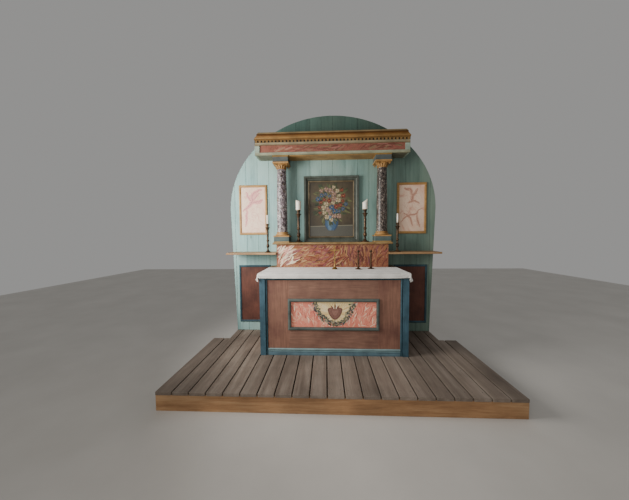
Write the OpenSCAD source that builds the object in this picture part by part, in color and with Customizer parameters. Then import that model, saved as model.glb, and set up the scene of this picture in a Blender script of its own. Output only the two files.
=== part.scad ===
// Wooden altar with a columned altarpiece, standing on a boarded dais.
// Millimetres, +Z up, front towards -Y. The origin is the middle of the footprint, at floor level.

/* [Dais] */
// Width of one deck board with its gap
board_pitch = 153; // [120:1:180]
// Number of deck boards, an odd number
board_count = 21; // [19:2:23]
// Open gap between two deck boards
board_gap = 8; // [4:1:14]
// Thickness of a deck board
board_t = 32; // [24:1:45]
// Height of the dais above the floor
dais_h = 180; // [150:1:220]
// Depth of open deck in front of the altar
apron = 705; // [500:5:1100]
// Thickness of the riser board
riser_t = 30; // [20:1:40]
// Overhang of the deck past the riser
nosing = 12; // [4:1:25]
// Width of a joist
joist_w = 80; // [60:1:110]

/* [Niche] */
// Depth from the altar's front to the front of the wall niche
niche_setback = 475; // [430:1:500]
// Depth from the altar's front to the face of the boarding
boarding_setback = 783; // [770:1:820]
// Width of the boarding at the floor
boarding_foot_w = 2770; // [2740:1:2830]
// Width of the boarding where the arch springs
boarding_w = 2890; // [2850:1:2940]
// Height of the springing above the deck
spring_h = 1750; // [1700:5:1790]
// Height of bare boarding above the cornice
tympanum_h = 331; // [300:1:380]
// Thickness of the boarding
boarding_t = 25; // [18:1:35]
// Width of a batten on the back
batten_w = 120; // [80:1:160]
// Thickness of a batten
batten_t = 30; // [20:1:40]

/* [Altar] */
// Width of the altar body
altar_w = 1680; // [1620:5:1700]
// Height of the table's top surface above the deck
table_h = 948; // [900:1:1000]
// Thickness of the table
table_t = 43; // [30:1:60]
// Overhang of the table past the body
table_over = 15; // [5:1:25]
// Width of a corner post
post_w = 64; // [50:1:80]
// Depth of a corner post
post_d = 75; // [60:1:100]
// Width of the bead between a post and the front boards
post_bead_w = 25; // [16:1:34]
// Height of the base rail
base_rail_h = 80; // [60:1:110]
// Height of the top rail
top_rail_h = 35; // [25:1:50]
// Depth that the front boards lie behind the posts
front_recess = 18; // [12:1:26]
// Thickness of the front boards and side boards
front_t = 22; // [16:1:30]

/* [Painted panel] */
// Width over the moulding of the painted panel
panel_w = 1034; // [1000:1:1040]
// Height over the moulding of the painted panel
panel_h = 363; // [330:1:390]
// Height of the moulding's lower edge above the deck
panel_z = 294; // [270:1:310]
// Width of the moulding
panel_mould_w = 35; // [25:1:45]
// Thickness of the moulding
panel_mould_t = 22; // [14:1:28]

/* [Cloth] */
// Thickness of the altar cloth
cloth_t = 3; // [2:0.5:5]
// Drop of the cloth at the front
cloth_drop = 56; // [46:1:80]
// Drop of the cloth at the ends
cloth_end_drop = 84; // [50:1:110]

/* [Gradine and shelves] */
// Width of the raised step at the back of the altar
gradine_w = 1484; // [1450:2:1510]
// Height of the step's top above the table
gradine_rise = 337; // [300:1:370]
// Depth from the altar's front to the step's front
gradine_setback = 540; // [520:1:548]
// Thickness of the step's top board
gradine_top_t = 26; // [20:1:34]
// Overhang of the step's top board
gradine_over = 46; // [44:1:54]
// Height of the step's top above the shelves
shelf_drop = 133; // [110:1:160]
// Thickness of the shelf
shelf_t = 24; // [18:1:32]
// Distance from a shelf's end to the widest line of the boarding
shelf_inset = 37; // [25:1:60]

/* [Columns] */
// Distance from the end of the raised step to a column's axis
column_inset = 64; // [62:1:80]
// Width of the square base block
column_block_w = 212; // [190:1:216]
// Height of the base block
column_block_h = 76; // [60:1:95]
// Thickness of the square slab between a block and the round mouldings
column_slab_t = 18; // [12:1:24]
// Height of the round base mouldings
column_torus_h = 48; // [36:1:60]
// Diameter of the shaft at its foot
shaft_foot_d = 140; // [125:1:146]
// Diameter of the shaft at its neck
shaft_neck_d = 122; // [108:1:128]
// Height of the round part of the capital
echinus_h = 66; // [52:1:80]
// Height of the square block on the capital
abacus_h = 82; // [70:1:92]

/* [Entablature] */
// Width of the entablature
entab_w = 2022; // [1960:2:2040]
// Height of the entablature's underside above the deck
entab_z = 2437; // [2400:1:2460]
// Height of the frieze
frieze_h = 163; // [150:1:170]
// Width of the frieze frame's end pieces
frieze_stile_w = 62; // [45:1:80]
// Height of the frieze frame's rails
frieze_rail_h = 34; // [26:1:44]
// Thickness of the entablature's boards
frieze_t = 25; // [18:1:30]
// Distance from one dentil to the next
dentil_pitch = 47; // [38:1:60]
// Width of a dentil
dentil_w = 26; // [16:1:32]
// Height of the dentil band
dentil_h = 30; // [22:1:34]
// Height of the cornice
cornice_h = 74; // [66:1:80]
// Projection of the cornice past the frieze
cornice_over = 66; // [58:1:80]

/* [Pictures] */
// Width over the middle picture's frame
picture_w = 766; // [720:1:800]
// Bare boarding between the middle picture's frame and the entablature
picture_clear = 234; // [200:1:300]
// Width of the middle picture's frame moulding
picture_mould_w = 62; // [50:1:70]
// Width of the slip inside the picture frame
picture_slip_w = 16; // [10:1:20]
// Thickness of the middle picture's frame
picture_t = 42; // [30:1:55]
// Width over a side panel's frame
side_w = 407; // [380:1:430]
// Height over a side panel's frame
side_h = 706; // [660:1:740]
// Distance from the middle to a side panel's axis
side_x = 1116; // [1110:1:1130]
// Height of a side panel's lower edge above the deck
side_z = 1394; // [1370:1:1410]
// Width of a side panel's frame moulding
side_mould_w = 33; // [24:1:40]
// Thickness of a side panel's frame
side_t = 18; // [12:1:24]

/* [Wainscot panels] */
// Width over a wainscot panel's moulding
wain_w = 460; // [420:1:470]
// Distance from the middle to a wainscot panel's axis
wain_x = 1110; // [1105:1:1120]
// Height of a wainscot panel's lower edge above the deck
wain_z = 125; // [100:1:160]
// Bare boarding between a wainscot panel and the shelf
wain_clear = 171; // [130:1:220]
// Width of the moulding
wain_mould_w = 28; // [20:1:36]
// Thickness of the moulding
wain_mould_t = 16; // [12:1:24]

/* [Candlesticks and cross] */
// Height of a tall candlestick
tall_stick_h = 440; // [400:5:480]
// Diameter of a tall candlestick's foot
tall_foot_d = 106; // [90:1:120]
// Diameter of a thick candle
thick_candle_d = 68; // [55:1:76]
// Height of a thick candle
thick_candle_h = 142; // [90:1:180]
// Distance from a column's axis to a tall candlestick's axis
tall_clear = 226; // [215:1:235]
// Height of a slim candlestick
slim_stick_h = 385; // [340:5:420]
// Diameter of a slim candlestick's foot
slim_foot_d = 88; // [70:1:96]
// Diameter of a taper
taper_d = 21; // [16:1:26]
// Height of a taper
taper_h = 126; // [80:1:180]
// Distance from the end of the raised step to a slim candlestick's axis
slim_clear = 123; // [110:1:150]
// Height of a low candlestick
low_stick_h = 236; // [200:2:280]
// Diameter of a low candlestick's foot
low_foot_d = 84; // [70:1:92]
// Height of the standing cross
cross_h = 296; // [260:2:340]
// Span of the cross's arms
cross_span = 112; // [90:1:130]
// Thickness of the cross's bars
cross_bar = 14; // [10:1:18]

/* [Hidden] */
$fn = 48;

// Overrun of a cut past the face that it leaves
over = 5;
// Hairline left where two boards or two mitred bars meet
hairline = 0.4;
// Steps of the arch outline and of a curved moulding
arch_steps = 36;
curve_steps = 6;

// Depths along Y, from the front edge of the deck
deck_w = board_pitch * board_count;
total_d = apron + boarding_setback + boarding_t + batten_t;
altar_y = apron - total_d / 2;
niche_y = altar_y + niche_setback;
boarding_y = altar_y + boarding_setback;
gradine_y = altar_y + gradine_setback;
deck_front_y = altar_y - apron;
deck_back_y = total_d / 2;
gradine_d = boarding_setback - gradine_setback;
half_altar = altar_w / 2;
half_shelf = boarding_w / 2 - shelf_inset;
arch_rise = entab_z + frieze_h + dentil_h + cornice_h + tympanum_h - spring_h;
gradine_h = table_h + gradine_rise;
shelf_h = gradine_h - shelf_drop;
wain_h = shelf_h - shelf_t - wain_clear - wain_z;

// Joists
joist_h = dais_h - board_t;
joist_count = 5;

// Beads, laps and rebates
panel_lap = 14;
bead_step = 8;
rail_bead_h = 20;
bead_start = 110;
bead_end = 250;
half_turn = 180;
panel_rebate = 4;
frieze_rebate = 12;
wain_panel_t = 6;
side_panel_t = 8;
picture_panel_t = 12;
picture_slip_t = 26;
column_y = gradine_y + gradine_d / 2 - 4;
column_x = gradine_w / 2 - column_inset;
block_fillet = 12;
block_lip = 5;
soffit_t = 18;
soffit_panel_t = 7;
batten_heights_share = [0.12, 0.5, 0.86];
cornice_board_share = 0.3;
picture_h = entab_z - gradine_h - picture_clear;
arch_clearance = 36;
dentil_t = 10;
dentil_rail = 6;

// The real arch of the boarding, above the deck
function arch_point(a) = [boarding_w / 2 * cos(a), spring_h + arch_rise * sin(a)];
function arch_half_width(z) = boarding_w / 2 * sqrt(1 - pow((z - spring_h) / arch_rise, 2));
function side_half_width(z) = (boarding_foot_w + (boarding_w - boarding_foot_w) * z / spring_h) / 2;
function arc(c, r, a0, a1, n = curve_steps) =
    [for (i = [0 : n]) c + r * [cos(a0 + (a1 - a0) * i / n), sin(a0 + (a1 - a0) * i / n)]];

// Raises what is placed by its height above the deck
module on_deck() { translate([0, 0, dais_h]) children(); }

// An outline drawn in X and Z, pulled back from y by t
module slab_xz(y, t) {
    translate([0, y + t, 0]) rotate([90, 0, 0]) linear_extrude(t) children();
}

module block(x, y, z) { translate([x[0], y[0], z[0]]) cube([x[1] - x[0], y[1] - y[0], z[1] - z[0]]); }

module both_sides() {
    children();
    mirror([1, 0, 0]) children();
}

// Moulding bar along +X, centred, its face outline given as [height from the outer edge, projection]
module mitred_bar(length, w, outline) {
    difference() {
        translate([-length / 2, 0, 0]) rotate([90, 0, 90]) linear_extrude(length) polygon(outline);
        for (s = [-1, 1])
            translate([s * length / 2, 0, 0]) mirror([s < 0 ? 0 : 1, 0, 0])
                rotate([0, -45, 0]) translate([-2 * w, -4 * w, -hairline / 2])
                    mirror([0, 0, 1]) mirror([1, 0, 0]) translate([-4 * w, 0, -4 * w])
                        cube([8 * w, 8 * w, 4 * w]);
    }
}

// Four mitred bars round an opening. The outline's first value is Y towards the viewer, made negative.
module mitred_frame(w, h, bar_w, outline) {
    translate([0, 0, 0]) mitred_bar(w, bar_w, outline);
    translate([0, 0, h]) mirror([0, 0, 1]) mitred_bar(w, bar_w, outline);
    translate([-w / 2, 0, h / 2]) rotate([0, 90, 0]) mitred_bar(h, bar_w, outline);
    translate([w / 2, 0, h / 2]) rotate([0, -90, 0]) mitred_bar(h, bar_w, outline);
}

// One deck board. Beside the niche it stops at the wall, and a ripped strip goes on behind it.
module deck_board(x) {
    x1 = x + board_pitch - board_gap;
    in0 = max(x, -boarding_foot_w / 2);
    in1 = min(x1, boarding_foot_w / 2);
    whole = in1 - in0 > board_pitch - board_gap - hairline;
    block([x, x1], [deck_front_y, whole ? deck_back_y : niche_y], [joist_h, dais_h]);
    if (!whole && in1 - in0 > board_gap)
        block([in0, in1], [niche_y + hairline, deck_back_y], [joist_h, dais_h]);
}

module deck_boards() {
    color("#6f6258") for (i = [0 : board_count - 1])
        deck_board((i - board_count / 2) * board_pitch + board_gap / 2);
}

module riser_board() {
    color("#9a6a3e") block([-deck_w / 2, deck_w / 2],
        [deck_front_y + nosing, deck_front_y + nosing + riser_t], [0, joist_h]);
}

module joists() {
    first_y = deck_front_y + nosing + riser_t;
    step = (deck_back_y - joist_w - first_y) / (joist_count - 1);
    color("#7c6247") for (i = [0 : joist_count - 1]) {
        y = first_y + i * step;
        half = y + joist_w > niche_y ? boarding_foot_w / 2 : deck_w / 2;
        block([-half, half], [y, y + joist_w], [0, joist_h]);
    }
}

module altar_posts() {
    color("#3f6677") on_deck() both_sides()
        block([-half_altar, -half_altar + post_w], [altar_y, altar_y + post_d], [0, table_h - table_t]);
}

// Half-round bead that covers the joint of a post with the front boards
module post_beads() {
    r = post_bead_w / 2;
    color("#2f4b55") on_deck() both_sides()
        translate([-half_altar + post_w, altar_y + bead_step, 0]) linear_extrude(table_h - table_t)
            polygon(concat([[0, front_recess + front_t - bead_step]], arc([r, r], r, 180, 360),
                [[post_bead_w, front_recess + front_t - bead_step]]));
}

opening_half = half_altar - post_w - post_bead_w;

// Rail along the altar's front, its outline given as [depth, height]
module front_rail(z, outline) {
    on_deck() translate([-opening_half, altar_y + bead_step, z]) rotate([90, 0, 90])
        linear_extrude(2 * opening_half) polygon(outline);
}

rail_d = front_recess + front_t - bead_step;

// Plinth, hollow and bead
module base_rail() {
    r = rail_bead_h / 2;
    plinth = base_rail_h - 2 * rail_bead_h;
    color("#4a6f78") front_rail(0, concat([[0, 0], [0, plinth], [bead_step * 0.6, plinth + r * 0.6],
        [bead_step * 0.6, base_rail_h - rail_bead_h]],
        arc([r * 0.6, base_rail_h - r], r, bead_end, bead_start),
        [[bead_step * 0.9, base_rail_h], [rail_d, base_rail_h], [rail_d, 0]]));
}

// Flat rail with a bead along its lower edge
module top_rail() {
    r = rail_bead_h / 2;
    color("#2f4b55") front_rail(table_h - table_t - top_rail_h, concat(
        [[bead_step, top_rail_h], [bead_step, rail_bead_h]], arc([r, r], r, bead_start, bead_end),
        [[rail_d, 0], [rail_d, top_rail_h]]));
}

front_y = altar_y + front_recess;
front_z0 = base_rail_h;
front_z1 = table_h - table_t - top_rail_h;
stile_in = panel_w / 2 - panel_lap;
sight_z0 = panel_z + panel_mould_w;
sight_z1 = panel_z + panel_h - panel_mould_w;

module front_stiles() {
    color("#7b4b40") on_deck() both_sides()
        block([-opening_half, -stile_in], [front_y, front_y + front_t], [front_z0, front_z1]);
}

module front_boards() {
    color("#7d4e42") on_deck() for (z = [[front_z0, sight_z0], [sight_z1, front_z1]])
        block([-stile_in, stile_in], [front_y, front_y + front_t], z);
}

module painted_panel() {
    color("#c98378") on_deck()
        block([-stile_in, stile_in], [front_y + panel_rebate, front_y + front_t], [sight_z0, sight_z1]);
}

// Face outline of a picture moulding: flat outer band, hollow, and a fillet at the sight edge
function moulding(w, t) = concat([[0, 0], [-t, 0], [-t, 0.42 * w]],
    arc([-t, 0.42 * w + 0.3 * w], 0.3 * w, 270, 360),
    [[-0.45 * t, 0.8 * w], [-0.62 * t, 0.86 * w], [-0.4 * t, w], [0, w]]);

// Face outline of a plain half-round bead moulding
function bead_moulding(w, t) = concat([[0, 0], [-0.5 * t, 0]],
    [for (a = [0 : 30 : 180]) [-0.5 * t - 0.5 * t * sin(a), w / 2 - w / 2 * cos(a)]], [[0, w]]);

module panel_moulding() {
    color("#48616b") on_deck() translate([0, front_y, panel_z])
        mitred_frame(panel_w, panel_h, panel_mould_w, bead_moulding(panel_mould_w, panel_mould_t));
}

module altar_sides() {
    color("#7b4b40") on_deck() both_sides()
        block([-half_altar, -half_altar + front_t], [altar_y + post_d, boarding_y], [0, table_h - table_t]);
}

module altar_table() {
    half = half_altar + table_over;
    color("#8a6a4a") on_deck()
        block([-half, half], [altar_y - table_over, boarding_y], [table_h - table_t, table_h]);
}

module altar_cloth() {
    half = half_altar + table_over;
    y0 = altar_y - table_over;
    color("white") on_deck() {
        block([-half - cloth_t, half + cloth_t], [y0 - cloth_t, gradine_y], [table_h, table_h + cloth_t]);
        block([-half - cloth_t, half + cloth_t], [y0 - cloth_t, y0], [table_h - cloth_drop, table_h]);
        both_sides() block([-half - cloth_t, -half], [y0 - cloth_t, gradine_y],
            [table_h - cloth_end_drop, table_h]);
    }
}

module gradine_front() {
    color("#c07a62") on_deck() block([-gradine_w / 2, gradine_w / 2],
        [gradine_y, gradine_y + front_t], [table_h, gradine_h - gradine_top_t]);
}

module gradine_ends() {
    color("#7fa39b") on_deck() both_sides() block([-gradine_w / 2, -gradine_w / 2 + front_t],
        [gradine_y + front_t, boarding_y], [table_h, gradine_h - gradine_top_t]);
}

module gradine_top() {
    half = gradine_w / 2 + gradine_over;
    r = gradine_top_t / 2;
    y = gradine_y - gradine_over + r;
    color("#a8783f") on_deck() {
        block([-half, half], [y, boarding_y], [gradine_h - gradine_top_t, gradine_h]);
        translate([-half, y, gradine_h - r]) rotate([0, 90, 0]) cylinder(h = 2 * half, r = r);
    }
}

// The shelf butts against the step's end and is notched by nothing
module shelf() {
    color("#9b7350") on_deck() block([-half_shelf, -gradine_w / 2], [niche_y, boarding_y],
        [shelf_h - shelf_t, shelf_h]);
}

module left_shelf() { shelf(); }

module right_shelf() { mirror([1, 0, 0]) shelf(); }

split_z = shelf_h - shelf_t / 2;

module lower_boarding() {
    color("#7a9c95") on_deck() slab_xz(boarding_y, boarding_t)
        polygon([[-boarding_foot_w / 2, 0], [boarding_foot_w / 2, 0],
            [side_half_width(split_z), split_z], [-side_half_width(split_z), split_z]]);
}

module upper_boarding() {
    color("#86aaa3") on_deck() slab_xz(boarding_y, boarding_t)
        polygon(concat([[side_half_width(split_z), split_z]],
            [for (i = [0 : arch_steps]) arch_point(half_turn * i / arch_steps)],
            [[-side_half_width(split_z), split_z]]));
}

module back_battens() {
    y = boarding_y + boarding_t;
    crown = spring_h + arch_rise;
    color("#8c7558") on_deck() for (share = batten_heights_share) {
        z = crown * share;
        top = z + batten_w;
        half = (top > spring_h ? arch_half_width(top) : boarding_foot_w / 2) - batten_w;
        block([-half, half], [y, y + batten_t], [z, top]);
    }
}

module at_wainscot() {
    on_deck() both_sides() translate([-wain_x, boarding_y, wain_z]) children();
}

module wainscot_panels() {
    in_w = wain_w - 2 * wain_mould_w;
    color("#6b3f36") at_wainscot() block([-in_w / 2, in_w / 2], [-wain_panel_t, 0],
        [wain_mould_w, wain_h - wain_mould_w]);
}

module wainscot_mouldings() {
    color("#2f4b55") at_wainscot()
        mitred_frame(wain_w, wain_h, wain_mould_w, bead_moulding(wain_mould_w, wain_mould_t));
}

// A square of width w, centred on a column's axis
module square_block(w, z, h) { translate([-w / 2, -w / 2, z]) cube([w, w, h]); }

module at_columns(z) { both_sides() translate([-column_x, column_y, dais_h + z]) children(); }

// Square block with a raised fillet round its foot
module base_blocks() {
    color("#66766c") at_columns(gradine_h) {
        square_block(column_block_w, 0, block_fillet);
        square_block(column_block_w - 2 * block_lip, 0, column_block_h);
    }
}

module capital_blocks() {
    color("#6d7d80") at_columns(entab_z - abacus_h) {
        square_block(column_block_w - 2 * block_lip, 0, abacus_h);
        square_block(column_block_w, abacus_h - block_fillet, block_fillet);
    }
}

// Attic base: a square slab, a large roll, a hollow and a small roll under the shaft's foot
module column_base(side) {
    r = shaft_foot_d / 2;
    big = 0.48 * column_torus_h;
    small = 0.3 * column_torus_h;
    color("#b98f52") translate([side * column_x, column_y, dais_h + gradine_h + column_block_h]) {
        square_block(column_block_w, 0, column_slab_t);
        translate([0, 0, column_slab_t]) rotate_extrude() polygon(concat([[0, 0], [r + big * 0.6, 0]],
            arc([r + big * 0.6, big / 2], big / 2, -90, 90),
            [[r + small * 0.45, big], [r + small * 0.3, column_torus_h - small]],
            arc([r + small * 0.3, column_torus_h - small / 2], small / 2, -90, 90),
            [[r, column_torus_h], [0, column_torus_h]]));
    }
}

shaft_z = gradine_h + column_block_h + column_slab_t + column_torus_h;
shaft_h = entab_z - abacus_h - column_slab_t - echinus_h - shaft_z;
entasis_steps = 10;
// Full to a third of the height, then a gentle curve to the neck
function shaft_r(t) = t < 1 / 3 ? shaft_foot_d / 2
    : shaft_neck_d / 2 + (shaft_foot_d - shaft_neck_d) / 2 * cos(90 * (t - 1 / 3) * 1.5);

module column_shaft(side) {
    color("#8b7d88") translate([side * column_x, column_y, dais_h + shaft_z])
        rotate_extrude() polygon(concat([[0, 0]],
            [for (i = [0 : entasis_steps]) [shaft_r(i / entasis_steps), shaft_h * i / entasis_steps]],
            [[0, shaft_h]]));
}

// Neck ring, flaring bell and square slab of the capital
module column_capital(side) {
    r = shaft_neck_d / 2;
    ring = 0.16 * echinus_h;
    flare = column_block_w / 2 - block_lip - r;
    color("#b98f52") translate([side * column_x, column_y, dais_h + shaft_z + shaft_h]) {
        rotate_extrude() polygon(concat([[0, 0], [r, 0]], arc([r, ring / 2], ring / 2, -90, 90),
            [[r, ring], [r, 0.4 * echinus_h]],
            arc([r + flare, 0.4 * echinus_h], flare, 180, 125),
            [[r + 0.62 * flare, 0.94 * echinus_h], [r + 0.86 * flare, 0.96 * echinus_h],
            [r + 0.86 * flare, echinus_h], [0, echinus_h]]));
        square_block(column_block_w, echinus_h, column_slab_t);
    }
}

module left_column_base() { column_base(-1); }
module left_column_shaft() { column_shaft(-1); }
module left_column_capital() { column_capital(-1); }
module right_column_base() { column_base(1); }
module right_column_shaft() { column_shaft(1); }
module right_column_capital() { column_capital(1); }

half_entab = entab_w / 2;
frieze_top = entab_z + frieze_h;

module soffit_board() {
    color("#8f8464") on_deck() block([-half_entab + frieze_t, half_entab - frieze_t],
        [gradine_y + frieze_t, boarding_y], [entab_z, entab_z + soffit_t]);
}

// Thin ochre panel under the soffit, between the columns
module soffit_panel() {
    half = column_x - column_block_w / 2;
    color("#a37c4b") on_deck() block([-half, half], [gradine_y + frieze_t, boarding_y],
        [entab_z - soffit_panel_t, entab_z]);
}

module frieze_frame() {
    color("#8aa39a") on_deck() difference() {
        block([-half_entab, half_entab], [gradine_y, gradine_y + frieze_t], [entab_z, frieze_top]);
        block([-half_entab + frieze_stile_w, half_entab - frieze_stile_w],
            [gradine_y - over, gradine_y + frieze_rebate],
            [entab_z + frieze_rail_h, frieze_top - frieze_rail_h]);
        block([-half_entab + frieze_stile_w, half_entab - frieze_stile_w],
            [gradine_y + frieze_rebate - over, gradine_y + frieze_t + over],
            [entab_z + frieze_rail_h, frieze_top - frieze_rail_h]);
    }
}

module frieze_panel() {
    color("#a85b4a") on_deck() block([-half_entab + frieze_stile_w, half_entab - frieze_stile_w],
        [gradine_y + frieze_rebate, gradine_y + frieze_t],
        [entab_z + frieze_rail_h, frieze_top - frieze_rail_h]);
}

module entablature_ends() {
    color("#8aa39a") on_deck() both_sides() block([-half_entab, -half_entab + frieze_t],
        [gradine_y + frieze_t, boarding_y], [entab_z, frieze_top]);
}

// Dark fillet that shows between the dentils
module dentil_ground() {
    color("#2a231c") on_deck() block([-half_entab, half_entab], [gradine_y, gradine_y + frieze_t],
        [frieze_top, frieze_top + dentil_h]);
}

// Toothed strip: its rail joins the teeth along their heads
module dentils() {
    count = floor(entab_w / dentil_pitch);
    rail_z = frieze_top + dentil_h - dentil_rail;
    color("#b8893e") on_deck() {
        block([-half_entab, half_entab], [gradine_y - dentil_t, gradine_y], [rail_z, rail_z + dentil_rail]);
        for (i = [0 : count - 1]) {
            x = (i - (count - 1) / 2) * dentil_pitch;
            block([x - dentil_w / 2, x + dentil_w / 2], [gradine_y - dentil_t, gradine_y],
                [frieze_top, rail_z + over * 0.5]);
        }
    }
}

// Crown moulding and its top board, cut at both ends to the curve of the niche's arch
module cornice() {
    z0 = frieze_top + dentil_h;
    board = cornice_h * cornice_board_share;
    r = cornice_h - board;
    front = gradine_y - cornice_over;
    half_cut = boarding_w / 2 - arch_clearance;
    hollow = cornice_over - block_lip - dentil_t - r * 0.4;
    color("#a8742c") on_deck() intersection() {
        translate([-half_entab, 0, 0]) rotate([90, 0, 90])
            linear_extrude(entab_w) polygon(concat(
                [[boarding_y, z0 + r], [gradine_y + frieze_t, z0 + r], [gradine_y + frieze_t, z0],
                [gradine_y - dentil_t, z0]],
                arc([gradine_y - dentil_t, z0 + r * 0.4], r * 0.4, 270, 180),
                [[gradine_y - dentil_t - r * 0.4, z0 + r * 0.45]],
                arc([front + block_lip, z0 + r * 0.45], hollow, 0, 75),
                [[front + block_lip, z0 + r], [front, z0 + r], [front, z0 + cornice_h],
                [boarding_y, z0 + cornice_h]]));
        slab_xz(front - over, total_d) polygon([for (i = [0 : arch_steps])
            [half_cut * cos(half_turn * i / arch_steps), spring_h + arch_rise * sin(half_turn * i / arch_steps)]]);
    }
}

module picture_frame() {
    color("#4b6a68") on_deck() translate([0, boarding_y, gradine_h])
        mitred_frame(picture_w, picture_h, picture_mould_w, moulding(picture_mould_w, picture_t));
}

// Narrow gilded moulding inside the frame
module picture_slip() {
    color("#a98556") on_deck() translate([0, boarding_y, gradine_h + picture_mould_w])
        mitred_frame(picture_w - 2 * picture_mould_w, picture_h - 2 * picture_mould_w, picture_slip_w,
            bead_moulding(picture_slip_w, picture_slip_t));
}

module picture_panel() {
    edge = picture_mould_w + picture_slip_w;
    half = picture_w / 2 - edge;
    color("#4a4438") on_deck() block([-half, half], [boarding_y - picture_panel_t, boarding_y],
        [gradine_h + edge, gradine_h + picture_h - edge]);
}

module at_side_panel() { on_deck() both_sides() translate([-side_x, boarding_y, side_z]) children(); }

module side_frames() {
    color("#a8804a") at_side_panel()
        mitred_frame(side_w, side_h, side_mould_w, bead_moulding(side_mould_w, side_t));
}

module side_panels() {
    half = side_w / 2 - side_mould_w;
    color("#d8b0a2") at_side_panel() block([-half, half], [-side_panel_t, 0],
        [side_mould_w, side_h - side_mould_w]);
}

// Turned candlestick: stepped foot, knopped stem, drip pan and socket
module turned_stick(h, foot_d, pan_d, stem_d) {
    f = foot_d / 2;
    s = stem_d / 2;
    rotate_extrude() polygon(concat([[0, 0], [f, 0], [f, 0.02 * h], [0.8 * f, 0.035 * h],
        [0.5 * f, 0.05 * h], [0.34 * f, 0.085 * h], [s, 0.12 * h]],
        arc([s, 0.15 * h], 0.02 * h, -90, 90), [[s, 0.17 * h], [s * 0.72, 0.3 * h]],
        arc([s * 0.8, 0.33 * h], 0.022 * h, -90, 90), [[s * 0.8, 0.352 * h], [s, 0.5 * h],
        [s * 0.72, 0.62 * h]], arc([s * 0.75, 0.65 * h], 0.022 * h, -90, 90),
        [[s * 0.8, 0.672 * h], [s * 0.9, 0.8 * h], [s * 0.6, 0.86 * h], [1.1 * s, 0.895 * h],
        [pan_d / 2, 0.93 * h], [pan_d / 2, 0.945 * h], [1.3 * s, 0.95 * h], [1.3 * s, h], [0, h]]));
}

tall_z = gradine_h;
slim_x = gradine_w / 2 + slim_clear;
slim_y = niche_y + (boarding_setback - niche_setback) * 0.3;
tall_y = gradine_y + gradine_d * 0.42;
tall_x = column_x - tall_clear;

module tall_candlesticks() {
    color("#5a4632") on_deck() both_sides() translate([-tall_x, tall_y, tall_z])
        turned_stick(tall_stick_h, tall_foot_d, 1.06 * thick_candle_d, 0.4 * tall_foot_d);
}

// Candle with a dished top
module candle(d, h) {
    rotate_extrude() polygon([[0, 0], [d / 2, 0], [d / 2, 0.985 * h], [0.46 * d, h],
        [0.4 * d, h], [0.3 * d, 0.965 * h], [0, 0.96 * h]]);
}

module thick_candles() {
    color("#eee9dd") on_deck() both_sides()
        translate([-tall_x, tall_y, tall_z + tall_stick_h]) candle(thick_candle_d, thick_candle_h);
}

module slim_candlesticks() {
    color("#5a4632") on_deck() both_sides() translate([-slim_x, slim_y, shelf_h])
        turned_stick(slim_stick_h, slim_foot_d, 0.5 * slim_foot_d, 0.34 * slim_foot_d);
}

module tapers() {
    color("#eee9dd") on_deck() both_sides()
        translate([-slim_x, slim_y, shelf_h + slim_stick_h]) candle(taper_d, taper_h);
}

cloth_top = table_h + cloth_t;
// Places of the low candlesticks and of the cross on the table, as shares of its half width and depth
low_places_share = [[0.383, 0.62], [0.577, 0.7]];
cross_share = [0.034, 0.65];
function on_table(share) = [share[0] * half_altar, altar_y + share[1] * gradine_setback, cloth_top];

module low_candlesticks() {
    color("#6b5a48") on_deck() for (share = low_places_share)
        translate(on_table(share))
            turned_stick(low_stick_h, low_foot_d, 0.5 * low_foot_d, 0.24 * low_foot_d);
}

module standing_cross() {
    foot = 0.26 * cross_h;
    color("#a98a55") on_deck() translate(on_table(cross_share)) {
        rotate_extrude() polygon([[0, 0], [foot / 2, 0], [foot / 2, 0.02 * cross_h],
            [0.34 * foot, 0.05 * cross_h], [0.16 * foot, 0.1 * cross_h], [0.12 * foot, 0.2 * cross_h],
            [0, 0.2 * cross_h]]);
        translate([-cross_bar / 2, -cross_bar / 2, 0.1 * cross_h])
            cube([cross_bar, cross_bar, 0.9 * cross_h]);
        translate([-cross_span / 2, -cross_bar / 2, 0.78 * cross_h])
            cube([cross_span, cross_bar, cross_bar]);
    }
}

deck_boards();
riser_board();
joists();
altar_posts();
post_beads();
base_rail();
top_rail();
front_stiles();
front_boards();
panel_moulding();
painted_panel();
altar_sides();
altar_table();
altar_cloth();
gradine_front();
gradine_ends();
gradine_top();
left_shelf();
right_shelf();
lower_boarding();
upper_boarding();
back_battens();
wainscot_panels();
wainscot_mouldings();
left_column_base();
left_column_shaft();
left_column_capital();
right_column_base();
right_column_shaft();
right_column_capital();
base_blocks();
capital_blocks();
soffit_board();
soffit_panel();
frieze_frame();
frieze_panel();
entablature_ends();
dentil_ground();
dentils();
cornice();
picture_frame();
picture_slip();
picture_panel();
side_frames();
side_panels();
tall_candlesticks();
thick_candles();
slim_candlesticks();
tapers();
low_candlesticks();
standing_cross();
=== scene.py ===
import math
import random

import bmesh
import bpy
from mathutils import Matrix, Vector, noise


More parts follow.
